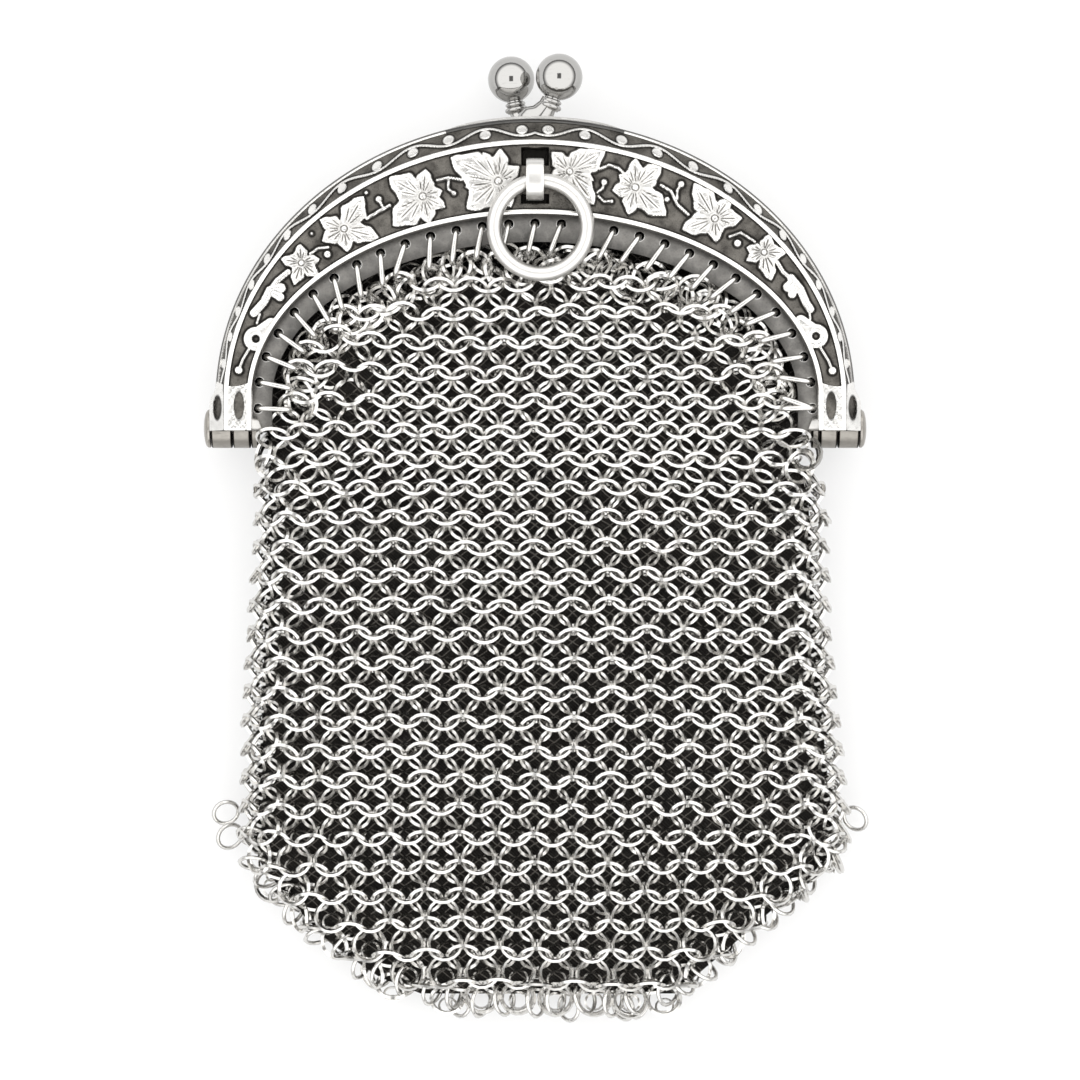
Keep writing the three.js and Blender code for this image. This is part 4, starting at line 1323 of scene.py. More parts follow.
@dataclass(frozen=True)
class Hinge:
    """One hinge: knuckles on both halves and the pin with its domed cap."""

    side: int
    y: float = -2.8
    radius: float = 1.95
    edge: float = 0.1

    def barrel(self, low: float, high: float, radius: float) -> Surface:
        """Turn one knuckle along X between two distances from the middle.

        Args:
            low: Nearer end.
            high: Further end.
            radius: Radius of the knuckle.

        Returns:
            The closed knuckle.
        """
        foot = (0.0, self.y, MIDDLE_Z)
        profile = rounded(radius, low, high, self.edge)
        ends = [(radius, low + 1.6 * self.edge), (radius, high - 1.6 * self.edge)]
        return turned(profile[:5] + ends + profile[5:], foot, (float(self.side), 0.0, 0.0), 36)

    def knuckles(self, half: Half) -> Surface:
        """Turn the knuckles of one half.

        Args:
            half: Half of the frame.

        Returns:
            Its knuckles, with painted shade at both ends of each, where the gaps between knuckles are.
        """
        spans = ((30.4, 32.45), (27.74, 28.45)) if half is Half.FRONT else ((28.57, 30.28),)
        made = joined([self.barrel(low, high, self.radius) for low, high in spans])
        place = np.abs(made.points[:, 0])[:, None]
        # The ends are painted dark as painted shade of the gaps; only the middles keep their worn polish.
        worn = np.abs(place - np.array(spans).ravel()).min(1) > 1.3 * self.edge
        made.paint = {"relief": np.where(worn, 0.8, 0.05), "outline": np.where(worn, 0.0, 1.0)}
        return made

    def pin(self) -> Surface:
        """Turn the pin with its tail and domed cap.

        Returns:
            The closed pin.
        """
        dome = np.linspace(0, np.pi / 2, 7)
        profile = [(0.0, 27.39), (0.5, 27.39), (0.6, 27.5), (0.6, 32.55)]
        profile += [(1.85, 32.55), (1.92, 32.62), (1.92, 32.8)]
        profile += [(1.86 * math.cos(t), 32.86 + 0.41 * math.sin(t)) for t in dome]
        return turned(profile, (0.0, self.y, MIDDLE_Z), (float(self.side), 0.0, 0.0), 40)


@dataclass
class BackFrame:
    """The plain back half of the frame, which lies on its flat back."""

    studio: Studio
    wall: float = 0.9

    def shell(self) -> Surface:
        """Build the outer wall, the chamfer, the flat back and the wall up to the flange.

        Returns:
            The closed shell.
        """
        places = Stations.even(260, 8)
        outside = section(
            [(OUTER, 0, 5.65), (OUTER, 0, 1.2), (OUTER, -0.35, 0.35), (OUTER, -1.2, 0), (BAND, 0.1, 0),
             (BAND, -0.28, 0.25), (BAND, -0.28, 2.2)],
            [4, 3, 3, 8, 2, 3],
        )
        inside = section(
            [(OUTER, -self.wall, 5.65), (OUTER, -self.wall, 1.5), (OUTER, -1.2, 1.0),
             (OUTER, -1.5, self.wall), (BAND, 0.45, self.wall),
             (BAND, 0.45, self.wall + 0.1), (BAND, 0.45, 2.2)],
            [4, 3, 3, 8, 2, 3],
        )
        return plate(places.grid(*outside), places.grid(*inside)).worn(0.28)

    def block(self, side: int) -> Surface:
        """Build the plain block at a foot of the arch.

        Args:
            side: 1 at the right and -1 at the left.

        Returns:
            The closed block.
        """
        u = np.linspace(0, 1, 20)[:, None]
        v = np.linspace(0, 1, 20)[None]
        y = -LEG + 4.9 * v + 0 * u
        outer = 31.9 + 0.55 * (1 - smooth(-0.4, 1.6, y))
        x = 28.1 + (outer - 28.1) * u
        low_z = np.maximum(0, (x - outer + 1.2)) ** 2 / 1.2
        cap = 5.7 - np.sqrt(np.maximum(1.9**2 - (y + 2.8) ** 2, 0))
        high_z = np.minimum(5.6, cap) + 0 * x
        low = np.stack([side * x, y, low_z + 0 * y], -1)
        return plate(np.stack([side * x, y, high_z], -1), low).worn(0.28)

    def strip(self) -> Surface:
        """Build the back half's lath under the clasp.

        Returns:
            The closed lath.
        """
        x, crest, rise = lath(80)
        z = np.linspace(2.5, 5.65, 7)[None] + 0 * x[:, None]
        top = np.stack([x[:, None] + 0 * z, (crest + rise)[:, None] + 0 * z, z], -1)
        low = np.stack([x[:, None] + 0 * z, (crest - LATH_SUNK)[:, None] + 0 * z, z], -1)
        return plate(top, low).worn(0.6)

    def build(self) -> None:
        """Build and dress every piece of the back half."""
        node = ("frame_back",)
        show(self.studio, "frame_back_shell", self.shell(), FinishKind.CAST, node)
        show(self.studio, "frame_back_flange", Flange(BACK_FLANGE_Z).build(), FinishKind.CAST, node)
        blocks = joined([self.block(-1), self.block(1)])
        show(self.studio, "frame_back_blocks", blocks, FinishKind.CAST, node)
        show(self.studio, "frame_back_strip", self.strip(), FinishKind.CAST, node)
        barrels = joined([Hinge(side).knuckles(Half.BACK) for side in (-1, 1)])
        show(self.studio, "frame_back_knuckles", barrels, FinishKind.HINGE, node)


@dataclass
class Clasp:
    """The kiss clasp: two balls on leaning, collared stems."""

    studio: Studio
    ball: float = 2.35
    centre_y: float = 32.4

    def stem(self, foot: list[tuple[float, float, float, float]], z: float) -> Surface:
        """Carry an ellipse along a stem, from its broad foot to its neck.

        Args:
            foot: X, Y, half-width across and half-depth of each station.
            z: Height of the stem's line.

        Returns:
            The closed stem.
        """
        t = 2 * np.pi * np.arange(32) / 32
        s = np.linspace(0, len(foot) - 1, 22)
        x, y, wide, deep = (np.interp(s, np.arange(len(foot)), values) for values in np.array(foot).T)
        along = np.stack([np.gradient(x), np.gradient(y)], -1)
        along = unit(along)
        across = np.cos(t)[None] * wide[:, None]
        points = np.stack(
            [x[:, None] + across * along[:, 1:2], y[:, None] - across * along[:, 0:1],
             z + np.sin(t)[None] * deep[:, None]],
            -1,
        )
        return skin(points, False)

    def ball_and_collar(self, x: float, lean: float, z: float) -> Surface:
        """Turn the collar's two beads and the ball on an axis that leans by the foot's shift.

        Args:
            x: Place of the ball's middle.
            lean: How far the foot is to the right of the ball.
            z: Height of the axis.

        Returns:
            The closed solid.
        """
        axis = (-lean, 4.2, 0.0)
        reach = math.hypot(4.2, lean)
        foot = (x + lean, self.centre_y - 4.2, z)
        t = np.linspace(math.asin(0.8 / self.ball), np.pi, 28)
        neck = reach - self.ball * math.cos(t[0])
        beads = [(0.0, neck - 1.25), (0.85, neck - 1.25)]
        for start, radius, size in ((neck - 1.12, 1.16, 0.52), (neck - 0.55, 1.02, 0.42)):
            beads += [
                (radius - size / 2 + size / 2 * math.sin(a), start + size / 2 - size / 2 * math.cos(a))
                for a in np.linspace(0.2, np.pi - 0.2, 7)
            ]
        beads += [(0.8, neck - 0.1)]
        sphere = [(self.ball * math.sin(a), reach - self.ball * math.cos(a)) for a in t]
        return turned(beads + sphere, foot, axis, 56)

    def build(self) -> None:
        """Build and dress both knobs."""
        left = joined([
            self.ball_and_collar(-2.41, 0.72, 4.35),
            self.stem([(-1.4, 27.3, 1.5, 1.2), (-1.45, 28.2, 1.15, 0.95), (-1.65, 28.9, 0.85, 0.8),
                       (-1.85, 29.6, 0.88, 0.85)], 4.35),
        ])
        right = joined([
            self.ball_and_collar(2.41, -1.3, 7.05),
            self.stem([(0.2, 27.4, 2.45, 1.1), (0.25, 28.15, 1.95, 1.0), (0.75, 28.8, 1.2, 0.95),
                       (1.25, 29.5, 0.95, 0.9), (1.55, 30.1, 0.9, 0.88)], 7.05),
        ])
        show(self.studio, "clasp_left", left, FinishKind.POLISHED, ("clasp_knob_left",))
        show(self.studio, "clasp_right", right, FinishKind.POLISHED, ("clasp_knob_right",))


@dataclass
class CarryingRing:
    """The carrying ring and the bail that holds it."""

    studio: Studio
    radius: float = 4.615
    wire: float = 1.47

    def ring(self) -> Surface:
        """Bend the round wire: centre + (R + w cos b)(cos t, sin t), with w sin b in height.

        Returns:
            The closed ring.
        """
        made = chain(
            np.array([[0.55, 16.985, 12.605]]),
            np.array([[1.0, 0.0, 0.0]]),
            np.array([[0.0, 1.0, 0.0]]),
            np.array([self.radius]),
            self.wire,
            around=120,
            across=28,
        )
        made.paint = {}
        return made

    def bail(self) -> Surface:
        """Bend the strap to a closed loop through the slots: a rounded oblong in Y and Z.

        The strap's outer side bulges as a shallow arc across its width.

        Returns:
            The closed strap.
        """
        t = 2 * np.pi * np.arange(72) / 72
        power = 0.78
        half_y, half_z = 1.9, 2.02
        cy, cz = 21.75, 12.02
        path = np.stack(
            [cy + half_y * np.sign(np.cos(t)) * np.abs(np.cos(t)) ** power,
             cz + half_z * np.sign(np.sin(t)) * np.abs(np.sin(t)) ** power],
            -1,
        )
        ahead = np.roll(path, -1, 0) - np.roll(path, 1, 0)
        ahead = unit(ahead)
        out = np.stack([ahead[:, 1], -ahead[:, 0]], -1)
        s = 2 * np.pi * np.arange(24) / 24
        wide = 0.88 * np.sign(np.cos(s)) * np.abs(np.cos(s)) ** 0.75
        deep = 0.25 * np.sin(s) + np.where(np.sin(s) > 0, 0.06 * np.cos(s * 2), 0)
        yz = path[:, None] + out[:, None] * deep[None, :, None]
        rings = np.concatenate([np.broadcast_to(wide[None, :, None], (72, 24, 1)), yz], -1)
        return skin(rings, True)

    def build(self) -> None:
        """Build and dress the ring and the bail."""
        node = ("carrying_ring",)
        show(self.studio, "carrying_ring_wire", self.ring(), FinishKind.SATIN, node, body=Body.RING)
        show(self.studio, "bail_strap", self.bail(), FinishKind.SATIN, ("bail",))


@dataclass(frozen=True)
class BagForm:
    """The form of the mail bag: side edges, height and how far the side edges are drawn together."""

    half: float = 30.8
    shift: float = 0.9
    drop: float = 61.8
    nose: float = 4.0
    hem: float = 4.15
    rise: float = 6.3
    down: Shares = (0.06, 0.085, 0.11, 0.18, 0.34, 0.55, 0.7, 0.75, 0.8, 0.88, 0.94, 0.97, 1.0)
    left: Shares = (0.83, 0.92, 0.94, 0.955, 0.965, 0.98, 1.0, 0.99, 0.91, 0.77, 0.6, 0.45, 0.22)
    right: Shares = (0.765, 0.86, 0.905, 0.92, 0.94, 0.97, 1.0, 0.98, 0.87, 0.69, 0.55, 0.48, 0.3)
    high: Shares = (1, 1, 1, 1, 1, 0.92, 0.8, 0.73, 0.65, 0.53, 0.42, 0.34, 0.28)
    closed: Shares = (0, 0.25, 0.5, 1, 1, 1, 1, 1, 1, 1, 1, 1, 1)

    def edges(self, y: Array) -> tuple[Array, Array]:
        """Find the left and right edge at each level, joined straight between the drawn levels.

        Args:
            y: Levels.

        Returns:
            X of the left edge and of the right edge.
        """
        share = -y / self.drop
        by = self.shift * np.clip(share / 0.18, 0, 1)
        left = np.interp(share, self.down, self.left) * self.half - by
        right = np.interp(share, self.down, self.right) * self.half + by
        return -left, right

    def outline(self) -> Array:
        """Return the edge as points, from the left shoulder round the hem to the right shoulder."""
        y = np.linspace(-3.7, -self.drop, 160)
        left, right = self.edges(y)
        return np.concatenate([np.stack([left, y], -1), np.stack([right, y], -1)[::-1]])

    def height(self, y: Array) -> Array:
        """Return the outside height of the mail at each level."""
        return self.hem + self.rise * np.interp(-y / self.drop, self.down, self.high)

    def level(self, x: Array, y: Array, set_in: float) -> Array:
        """Find the height of the front layer that lies set_in below the outside.

        Near the edge it falls to the seam as sqrt(1 - (1 - d/nose)^2) for the distance d from the edge.

        Args:
            x: Places across.
            y: Places up.
            set_in: Depth below the outside.

        Returns:
            Height of each place.
        """
        line = self.outline()
        a, b = line[:-1], line[1:]
        span = b - a
        point = np.stack([x, y], -1)[..., None, :]
        share = np.clip(((point - a) * span).sum(-1) / (span * span).sum(-1), 0, 1)
        gap = np.linalg.norm(point - a - share[..., None] * span, axis=-1).min(-1)
        left, right = self.edges(y)
        gap = np.where((x < left) | (x > right), 0, gap)
        t = np.clip((gap - set_in) / self.nose, 0, 1)
        high = self.height(y)
        flat = high - set_in
        seam = (high + 0.1) / 2
        drawn = np.interp(-y / self.drop, self.down, self.closed)
        return flat - (flat - seam) * (1 - np.sqrt(1 - (1 - t) ** 2)) * drawn

    def mirrored(self, z: Array, y: Array, lift: float) -> Array:
        """Return the back layer's heights: the front's mirrored about the bag's middle."""
        return self.height(y) + 0.1 + lift - z


@dataclass
class Mail:
    """The mail: rows of wire rings, each through four others, hung from the flange holes."""

    studio: Studio
    form: BagForm = field(default_factory=BagForm)
    row: float = 1.45
    top: float = 13.6
    ring: float = 1.63
    wire: float = 0.43
    hanger_wire: float = 0.56
    tilt: float = 33.5
    per_side: float = 8.5
    hem_step: float = 2.7
    mid: float = 0.95
    arch_foot: float = -4.4
    full_width: float = -6.0
    hem_start: float = -43.5
    hem_pitch: float = 3.74

    def lattice(self) -> tuple[Array, Array, Array, NDArray[np.bool_]]:
        """Lay the rows on the front layer, evenly spaced along its own curve.

        Returns:
            Centres, directions along the rows, directions up the layer, and whether the row is even.
        """
        centres, along, even = [], [], []
        rows = int((self.top + self.form.drop - 1.2) / self.row) + 1
        for r in range(rows):
            y = self.top - r * self.row
            level_y = min(y, self.full_width)
            left, right = (float(v) for v in self.form.edges(np.array(level_y)))
            x = np.linspace(left + self.mid, right - self.mid, 501)
            z = self.form.level(x, np.full_like(x, level_y), self.mid)
            s = np.concatenate([[0], np.cumsum(np.hypot(np.diff(x), np.diff(z)))])
            s = s - np.interp(0.0, x, s)
            pitch_left, pitch_right = -s[0] / self.per_side, s[-1] / self.per_side
            if y < self.hem_start:
                pitch_left = pitch_right = self.hem_pitch
            k = np.arange(-9, 10) + (0.5 if r % 2 else 0.0)
            goal = np.where(k < 0, k * pitch_left, k * pitch_right)
            goal = goal[(goal >= s[0] - 0.05) & (goal <= s[-1] + 0.05)]
            cx, cz = np.interp(goal, s, x), np.interp(goal, s, z)
            ax = np.interp(goal + 0.1, s, x) - np.interp(goal - 0.1, s, x)
            az = np.interp(goal + 0.1, s, z) - np.interp(goal - 0.1, s, z)
            if y > self.arch_foot:
                cz = np.full_like(cx, self.form.height(np.array(y)) - self.mid)
                az = np.zeros_like(ax)
            centres.append(np.stack([cx, np.full_like(cx, y), cz], -1))
            along.append(np.stack([ax, np.zeros_like(ax), az], -1))
            even.append(np.full(len(cx), r % 2 == 0))
        c, a, e = np.concatenate(centres), np.concatenate(along), np.concatenate(even)
        a = unit(a)
        above, below = (self.form.level(c[:, 0], c[:, 1] + step, self.mid) for step in (0.3, -0.3))
        rise = above - below
        slope = np.clip(np.where(c[:, 1] > -3.7, 0, rise / 0.6), -1.6, 1.6)
        up = np.stack([np.zeros(len(c)), np.ones(len(c)), slope], -1)
        up = up - (up * a).sum(1)[:, None] * a
        up = unit(up)
        inside = (c[:, 0] / 24.3) ** 2 + (c[:, 1] / 14.2) ** 2 <= 1
        keep = np.where(c[:, 1] > 0, inside, (c[:, 1] < -3.6) | (np.abs(c[:, 0]) < 24.6))
        keep &= (c[:, 1] < -6.5) | (np.abs(c[:, 0]) < 27.6)
        return c[keep], a[keep], up[keep], e[keep]

    def toward(self, flange: Flange) -> Array:
        """Point each hanger inwards, leaning clockwise by 17 degrees, and by less at the left leg.

        Args:
            flange: Flange that the hangers hang from.

        Returns:
            Unit direction of each hanger.
        """
        _, _, inward = flange.places()
        x = flange.centres()[:, 0]
        rng = np.random.default_rng(SEED + 11)
        lean = np.interp(x, (-27.6, -25.0, -22.5, -20.0), (2.0, 6.0, 10.0, 17.0))
        lean = lean + rng.normal(0, 2.5, len(x)) + 18 * (np.abs(x + 12.7) < 1.0)
        t = np.radians(lean)[:, None]
        aside = np.stack([inward[:, 1], -inward[:, 0]], -1)
        return inward * np.cos(t) + aside * np.sin(t)

    def pulled(self, centres: Array) -> Array:
        """Pull the rings nearest the flange to the hangers, and their neighbours a share of the way.

        A ring moves by the mean of the hangers' shifts, weighed with exp(-(d / 2)^2) for its distance d
        from each, times exp(-(d / 2.6)^2) for the nearest.

        Args:
            centres: Ring centres.

        Returns:
            How far each ring moves across and up.
        """
        flange = Flange(FRONT_FLANGE_Z)
        goal = flange.centres() + self.toward(flange) * 4.3
        gap = np.linalg.norm(centres[None, :, :2] - goal[:, None], axis=2)
        hung = np.full(len(goal), -1)
        for k in np.argsort(gap.min(1)):
            order = np.argsort(gap[k])
            hung[k] = order[~np.isin(order, hung)][0]
        held = centres[hung, :2]
        apart = np.linalg.norm(centres[:, None, :2] - held[None], axis=2)
        weights = np.exp(-((apart / 2.0) ** 2)) + 1e-12
        mean = weights @ (goal - held) / weights.sum(1)[:, None]
        return mean * np.exp(-((apart.min(1) / 2.6) ** 2))[:, None]

    def laid(self, half: Half) -> tuple[Array, Array, Array, NDArray[np.bool_]]:
        """Lay one face's rings: the lattice, pulled to the hangers and moved by slow waves and chance.

        Args:
            half: Face to lay.

        Returns:
            Centres, directions along the rows, directions up the layer, and whether the top comes forward.
        """
        centres, along, up, even = self.lattice()
        rng = np.random.default_rng(SEED + (half is Half.BACK))
        centres = centres.copy()
        centres[:, :2] += self.pulled(centres)
        x, y = centres[:, 0].copy(), centres[:, 1].copy()
        centres[:, 0] += 0.22 * np.sin(y / 5.3 + x / 11) + 0.1 * np.sin(x / 3.1 + y / 8)
        centres[:, 1] += 0.12 * np.sin(x / 4.1 + y / 17)
        centres[:, :2] += rng.normal(0, 0.05, (len(centres), 2))
        if half is Half.BACK:
            centres[:, 2] = self.form.mirrored(centres[:, 2], y, 0.07)
            along = along * (1, 1, -1)
            up = up * (1, 1, -1)
            even = ~even
        turn = rng.normal(0, math.radians(4), len(centres))[:, None]
        normal = np.cross(along, up)
        along = along * np.cos(turn) + up * np.sin(turn)
        return centres, along, np.cross(normal, along), even

    def rings(self, half: Half) -> Surface:
        """Make all rings of one face: each turned about its row by the tilt, one way or the other.

        Args:
            half: Face to make.

        Returns:
            The rings.
        """
        centres, along, up, even = self.laid(half)
        rng = np.random.default_rng(SEED + 20 + (half is Half.BACK))
        tilt = np.radians(self.tilt * np.where(even, 1, -1) + rng.normal(0, 3, len(centres)))[:, None]
        second = up * np.cos(tilt) + np.cross(along, up) * np.sin(tilt)
        radius = self.ring * (1 + rng.normal(0, 0.01, len(centres)))
        return chain(centres, along, second, radius, self.wire)

    def small_rings(self, half: Half) -> Surface:
        """Make the small rings that show in the eyes between the large ones, a little further in.

        Args:
            half: Face to make.

        Returns:
            The small rings.
        """
        centres, along, up, even = self.laid(half)
        inward = np.cross(along, up) * (-1 if half is Half.FRONT else 1)
        centres = centres + up * np.where(even, 0.86, -0.84)[:, None] + inward * 0.35
        tilt = np.radians(np.where(even, 62.0, -38.0))[:, None]
        second = up * np.cos(tilt) + np.cross(along, up) * np.sin(tilt)
        radius = np.where(even, 0.45, 0.86)
        return chain(centres, along, second, radius, self.wire * 0.68, around=14, across=3)

    def crowd(self, half: Half) -> Surface:
        """Make the loose rings that crowd between the hangers and the first full rows.

        Args:
            half: Face to make.

        Returns:
            The loose rings, each lying its own way.
        """
        count = 78
        rng = np.random.default_rng(SEED + 30 + (half is Half.BACK))
        t = np.radians(np.linspace(1, 179, count) + rng.normal(0, 1.0, count))
        deep = rng.uniform(3.2, 4.9, count)
        x = (HOLES.side - deep) * np.cos(t)
        y = (HOLES.top - deep) * np.sin(t) - 0.9 * (np.abs(np.cos(t)) > 0.97)
        z = 8.8 + rng.uniform(-0.7, 0.5, count)
        if half is Half.BACK:
            z = 2 * MIDDLE_Z - 0.9 - z
        normal = np.column_stack([rng.normal(0, 0.5, (count, 2)), np.ones(count)])
        normal = unit(normal)
        first = np.cross(normal, np.column_stack([rng.normal(0, 1, (count, 2)), np.zeros(count)]))
        first = unit(first)
        centres, radius = np.column_stack([x, y, z]), np.full(count, self.ring)
        return chain(centres, first, np.cross(normal, first), radius, self.wire)

    def hem_loops(self) -> Surface:
        """Make the loops that join the faces along the hem, and the free ones at the corners.

        Each is seen at a slant, its long way out from the hem.

        Returns:
            The loops.
        """
        line = self.form.outline()
        line = line[line[:, 1] < -42.5]
        run = walked(line)
        at = np.arange(0.6, run[-1], self.hem_step)
        rng = np.random.default_rng(SEED + 5)
        at = at + rng.normal(0, 0.25, len(at))
        place = np.stack([np.interp(at, run, line[:, k]) for k in (0, 1)], -1)
        beyond, before = (
            np.stack([np.interp(at + step, run, line[:, k]) for k in (0, 1)], -1) for step in (1.5, -1.5)
        )
        ahead = beyond - before
        ahead = unit(ahead)
        out = np.stack([ahead[:, 1], -ahead[:, 0]], -1)
        out = out * np.sign((out * (place - (0.0, -30.0))).sum(1))[:, None]
        spin = rng.normal(0, 0.25, len(at))[:, None]
        out = out * np.cos(spin) + ahead * np.sin(spin)
        ahead = np.stack([out[:, 1], -out[:, 0]], -1)
        middle = place - out * (1.45 + rng.normal(0, 0.15, len(at))[:, None])
        z = (self.form.height(middle[:, 1]) + 0.1) / 2 + 0.6
        free = np.array([(-31.3, -41.6, 0.5, 1.25), (-30.9, -44.0, 0.9, 1.3), (32.4, -42.2, -0.9, 1.25),
                         (-7.6, -60.9, -1.6, 1.3), (3.4, -61.3, -1.5, 1.35), (8.9, -61.2, -1.3, 1.4),
                         (10.4, -61.0, -1.9, 1.35), (-20.4, -52.5, -2.4, 1.2), (18.9, -56.0, -0.8, 1.2)])
        slant = np.concatenate([rng.uniform(0.85, 1.2, len(at)), np.linspace(0.5, 1.0, len(free))])
        turn = free[:, 2]
        loose = np.column_stack([free[:, :2], np.full(len(free), 2.4)])
        centres = np.concatenate([np.column_stack([middle, z]), loose])
        first = np.concatenate([np.column_stack([out, np.zeros(len(at))]),
                                np.column_stack([np.cos(turn), np.sin(turn), np.zeros(len(free))])])
        flat = np.concatenate([np.column_stack([ahead, np.zeros(len(at))]),
                               np.column_stack([-np.sin(turn), np.cos(turn), np.zeros(len(free))])])
        second = flat * np.cos(slant)[:, None] + np.array((0.0, 0.0, 1.0)) * np.sin(slant)[:, None]
        radius = np.concatenate([np.full(len(at), self.ring), free[:, 3]])
        centres[:, 2] = np.maximum(centres[:, 2], radius * np.sin(slant) + self.wire / 2 + 0.1)
        return chain(centres, first, second, radius, self.wire, around=20, across=5)

    def hangers(self, half: Half) -> Surface:
        """Make the edge-on rings through the flange holes.

        Args:
            half: Half of the frame that they hang from.

        Returns:
            The hangers.
        """
        z = FRONT_FLANGE_Z if half is Half.FRONT else BACK_FLANGE_Z
        flange = Flange(z)
        toward = self.toward(flange)
        centres = flange.centres() + toward * 1.67
        first = np.column_stack([toward, np.zeros(len(toward))])
        second = np.tile(np.array((0.0, 0.0, 1.0)), (len(toward), 1))
        if half is Half.FRONT:
            twin = np.array([[0.93, 0.02, 0.0]])
            centres = np.concatenate([centres, centres[:1] + (0.1, -0.55)])
            first = np.concatenate([first, -twin / np.linalg.norm(twin)])
            second = np.concatenate([second, second[:1]])
        middle = np.column_stack([centres, np.full(len(centres), z)])
        radius = np.full(len(middle), 1.62)
        return chain(middle, first, second, radius, self.hanger_wire, around=28, across=8, square=0.5)

    def build(self) -> None:
        """Build and dress the mail's faces, hem loops and hangers."""
        front, back = ("mail_front",), ("mail_back",)
        for half, nodes in ((Half.FRONT, front), (Half.BACK, back)):
            pieces = {
                f"mail_rings_{half.value}": joined([self.rings(half), self.crowd(half)]),
                f"mail_small_rings_{half.value}": self.small_rings(half),
                f"mail_hangers_{half.value}": self.hangers(half),
            }
            for name, made in pieces.items():
                show(self.studio, name, made, FinishKind.WIRE, nodes, sharp=80)
        loops = self.hem_loops()
        show(self.studio, "mail_hem_loops", loops, FinishKind.WIRE, front + back, sharp=80)


@dataclass
class Lining:
    """The dark cloth pouch inside the mail, open round the arch and sewn along its sides and hem; its dark
    also stands for the shade inside the bag.
    """

    studio: Studio
    form: BagForm = field(default_factory=BagForm)
    cloth: float = 1.0
    below: float = 2.05
    side_gap: float = 1.7
    mouth: ArchLine = ArchLine(26.9, 16.4)

    def panel(self, half: Half) -> Surface:
        """Lay one panel: rows across the bag between its edges, a cloth's thickness thick.

        Args:
            half: Face that the panel is under.

        Returns:
            The closed panel.
        """
        arch = np.linspace(math.radians(86), 0, 26)
        y_arch, half_arch = self.mouth.top * np.sin(arch), self.mouth.side * np.cos(arch)
        y_low = np.linspace(-0.6, -0.968 * self.form.drop, 74)
        left, right = self.form.edges(np.minimum(y_low, -3.7))
        open_part = smooth(-8.0, -3.0, y_low)
        left = (left + self.side_gap) * (1 - open_part) - self.mouth.side * open_part
        right = (right - self.side_gap) * (1 - open_part) + self.mouth.side * open_part
        y = np.concatenate([y_arch, y_low])
        left, right = np.concatenate([-half_arch, left]), np.concatenate([half_arch, right])
        across = 0.5 - 0.5 * np.cos(np.linspace(0, np.pi, 60))
        x = left[:, None] + (right - left)[:, None] * across[None]
        level = y[:, None] + 0 * x
        near_frame = np.hypot(x / 22.6, np.maximum(level, 0) / 12.6)
        dip = 1.3 * smooth(1.0, 1.12, near_frame) * smooth(-5.0, -3.4, level)
        upper = self.form.level(x, level, self.below) - dip
        lower = np.maximum(upper - self.cloth, (self.form.height(level) + 0.1) / 2 + 0.02)
        upper = np.maximum(upper, lower + 0.12)
        sag = 0.06 * np.sin(x / 3.7) * np.sin(level / 4.3)
        if half is Half.FRONT:
            top, low = upper - 0.06 + sag, lower
        else:
            top, low = self.form.mirrored(lower, level, 0.0), self.form.mirrored(upper, level, 0.0) + 0.06
        return plate(np.stack([x, level, top], -1), np.stack([x, level, low], -1))

    def build(self) -> None:
        pouch = joined([self.panel(Half.FRONT), self.panel(Half.BACK)])
        piece = show(self.studio, "lining_pouch", pouch, FinishKind.CLOTH, ("lining",))


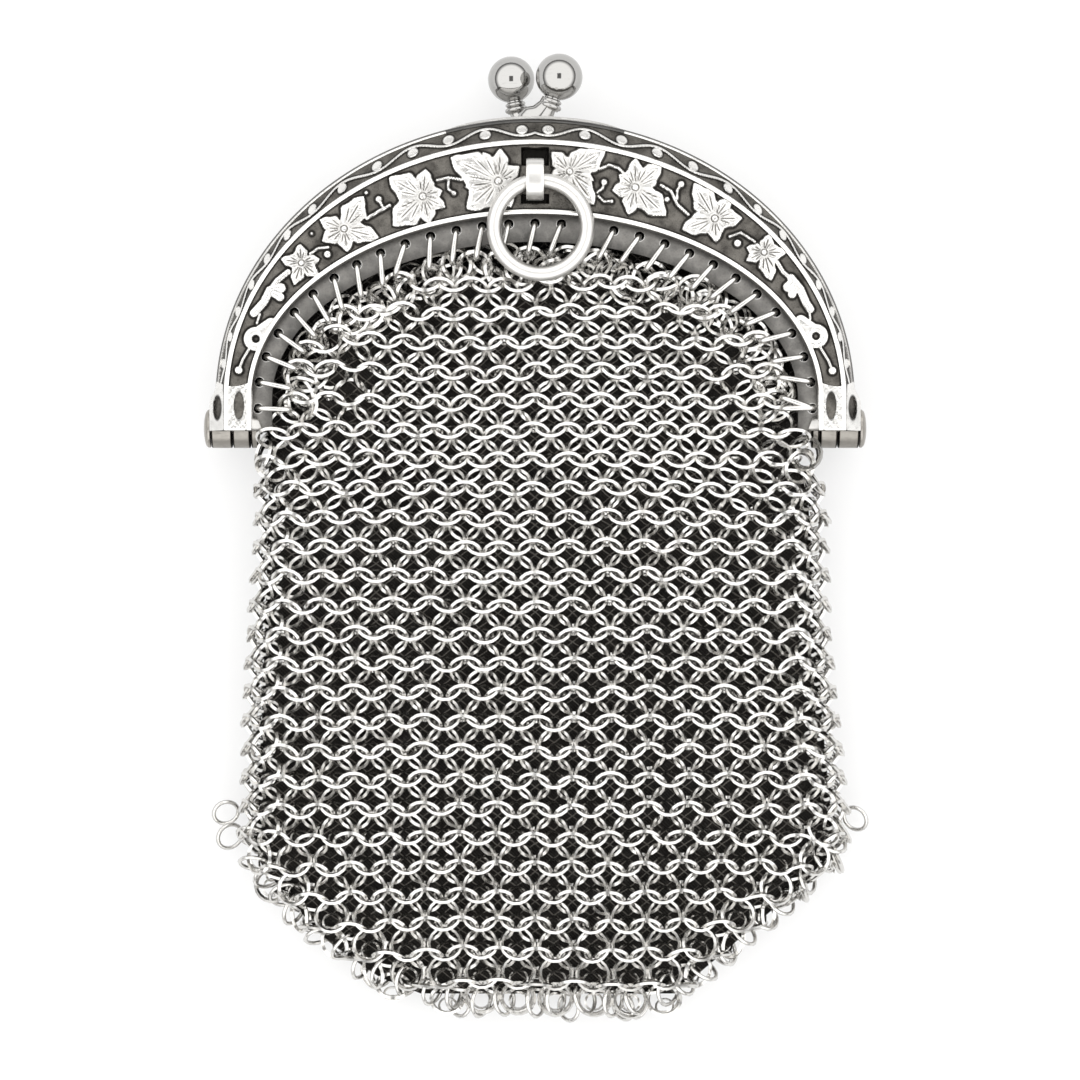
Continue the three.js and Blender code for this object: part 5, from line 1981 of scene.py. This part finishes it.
@dataclass
class Set:
    """The plain set: camera, floor and the light of a white studio."""

    studio: Studio
    eye_height: float = 0.458
    lens: float = 150.0

    def camera(self) -> None:
        """Hang the camera straight above the purse, its top towards the clasp."""
        data = bpy.data.cameras.new("camera")
        data.lens = self.lens
        data.sensor_width = 36.0
        data.clip_start = 0.01
        data.clip_end = 50.0
        eye = bpy.data.objects.new("camera", data)
        eye.location = (0.00049, -0.00046, self.eye_height)
        bpy.context.scene.collection.objects.link(eye)
        bpy.context.scene.camera = eye

    def floor(self) -> None:
        """Lay the paper: a wide sheet whose far edges turn up a little."""
        u = np.linspace(-1, 1, 41)
        x, y = np.meshgrid(3000 * u, 3000 * u, indexing="ij")
        lift = 60 * smooth(0.9, 1.0, np.maximum(np.abs(x), np.abs(y)) / 3000)
        top = np.stack([x, y, lift], -1)
        made = plate(top, top - (0.0, 0.0, 2.0))
        mesh = bpy.data.meshes.new("floor")
        faces = made.quads.tolist() + made.tris.tolist()
        mesh.from_pydata((made.points * METRES).tolist(), [], faces)
        mesh.shade_smooth()
        mesh.materials.append(self.studio.finish(FinishKind.FLOOR))
        sheet = bpy.data.objects.new("floor", mesh)
        bpy.context.scene.collection.objects.link(sheet)

    def sky(self) -> None:
        """Light the set from all round: a large soft light above, dim walls and a dark hole at the top."""
        world = bpy.data.worlds.new("studio")
        world.use_nodes = True
        bpy.context.scene.world = world
        tree = world.node_tree
        ground = tree.nodes["Background"]
        where = Studio.node(tree, "ShaderNodeTexCoord").outputs["Generated"]
        split = Studio.node(tree, "ShaderNodeSeparateXYZ")
        tree.links.new(where, split.inputs[0])
        x, y, z = split.outputs
        box = Studio.spread(tree, z, 0.12, 0.4, 0.0, 1.0)
        walls = Studio.spread(tree, z, 0.0, 0.25, 0.35, 0.1)
        light = Studio.math(tree, "MULTIPLY_ADD", box, 1.75, walls)
        far_x = Studio.spread(tree, Studio.math(tree, "ABSOLUTE", x), 0.15, 0.18, 0.0, 1.0)
        far_y = Studio.spread(tree, Studio.math(tree, "ABSOLUTE", y), 0.21, 0.24, 0.0, 1.0)
        side = Studio.spread(tree, z, 0.3, 0.8, 1.0, 0.12)
        top = Studio.math(tree, "MAXIMUM", Studio.math(tree, "MAXIMUM", far_x, far_y), side)
        light = Studio.math(tree, "MULTIPLY", light, top)
        tree.links.new(light, ground.inputs["Strength"])
        ground.inputs["Color"].default_value = (1.0, 0.995, 0.985, 1.0)

    def build(self) -> None:
        """Set up floor, light and the view transform."""
        self.floor()
        self.sky()
        bpy.context.scene.view_settings.view_transform = "Standard"


def main() -> None:
    """Build the set and every sub-assembly in order."""
    logging.basicConfig(level=logging.INFO, format="%(message)s")
    studio = Studio()
    stand = Set(studio)
    stand.camera()
    stand.build()
    FrontFrame(studio).build()
    BackFrame(studio).build()
    for side, word in ((-1, "left"), (1, "right")):
        show(studio, f"hinge_pin_cap_{word}", Hinge(side).pin(), FinishKind.HINGE, (f"hinge_pin_{word}",))
    Clasp(studio).build()
    CarryingRing(studio).build()
    Mail(studio).build()
    Lining(studio).build()


if __name__ == "__main__":
    main()
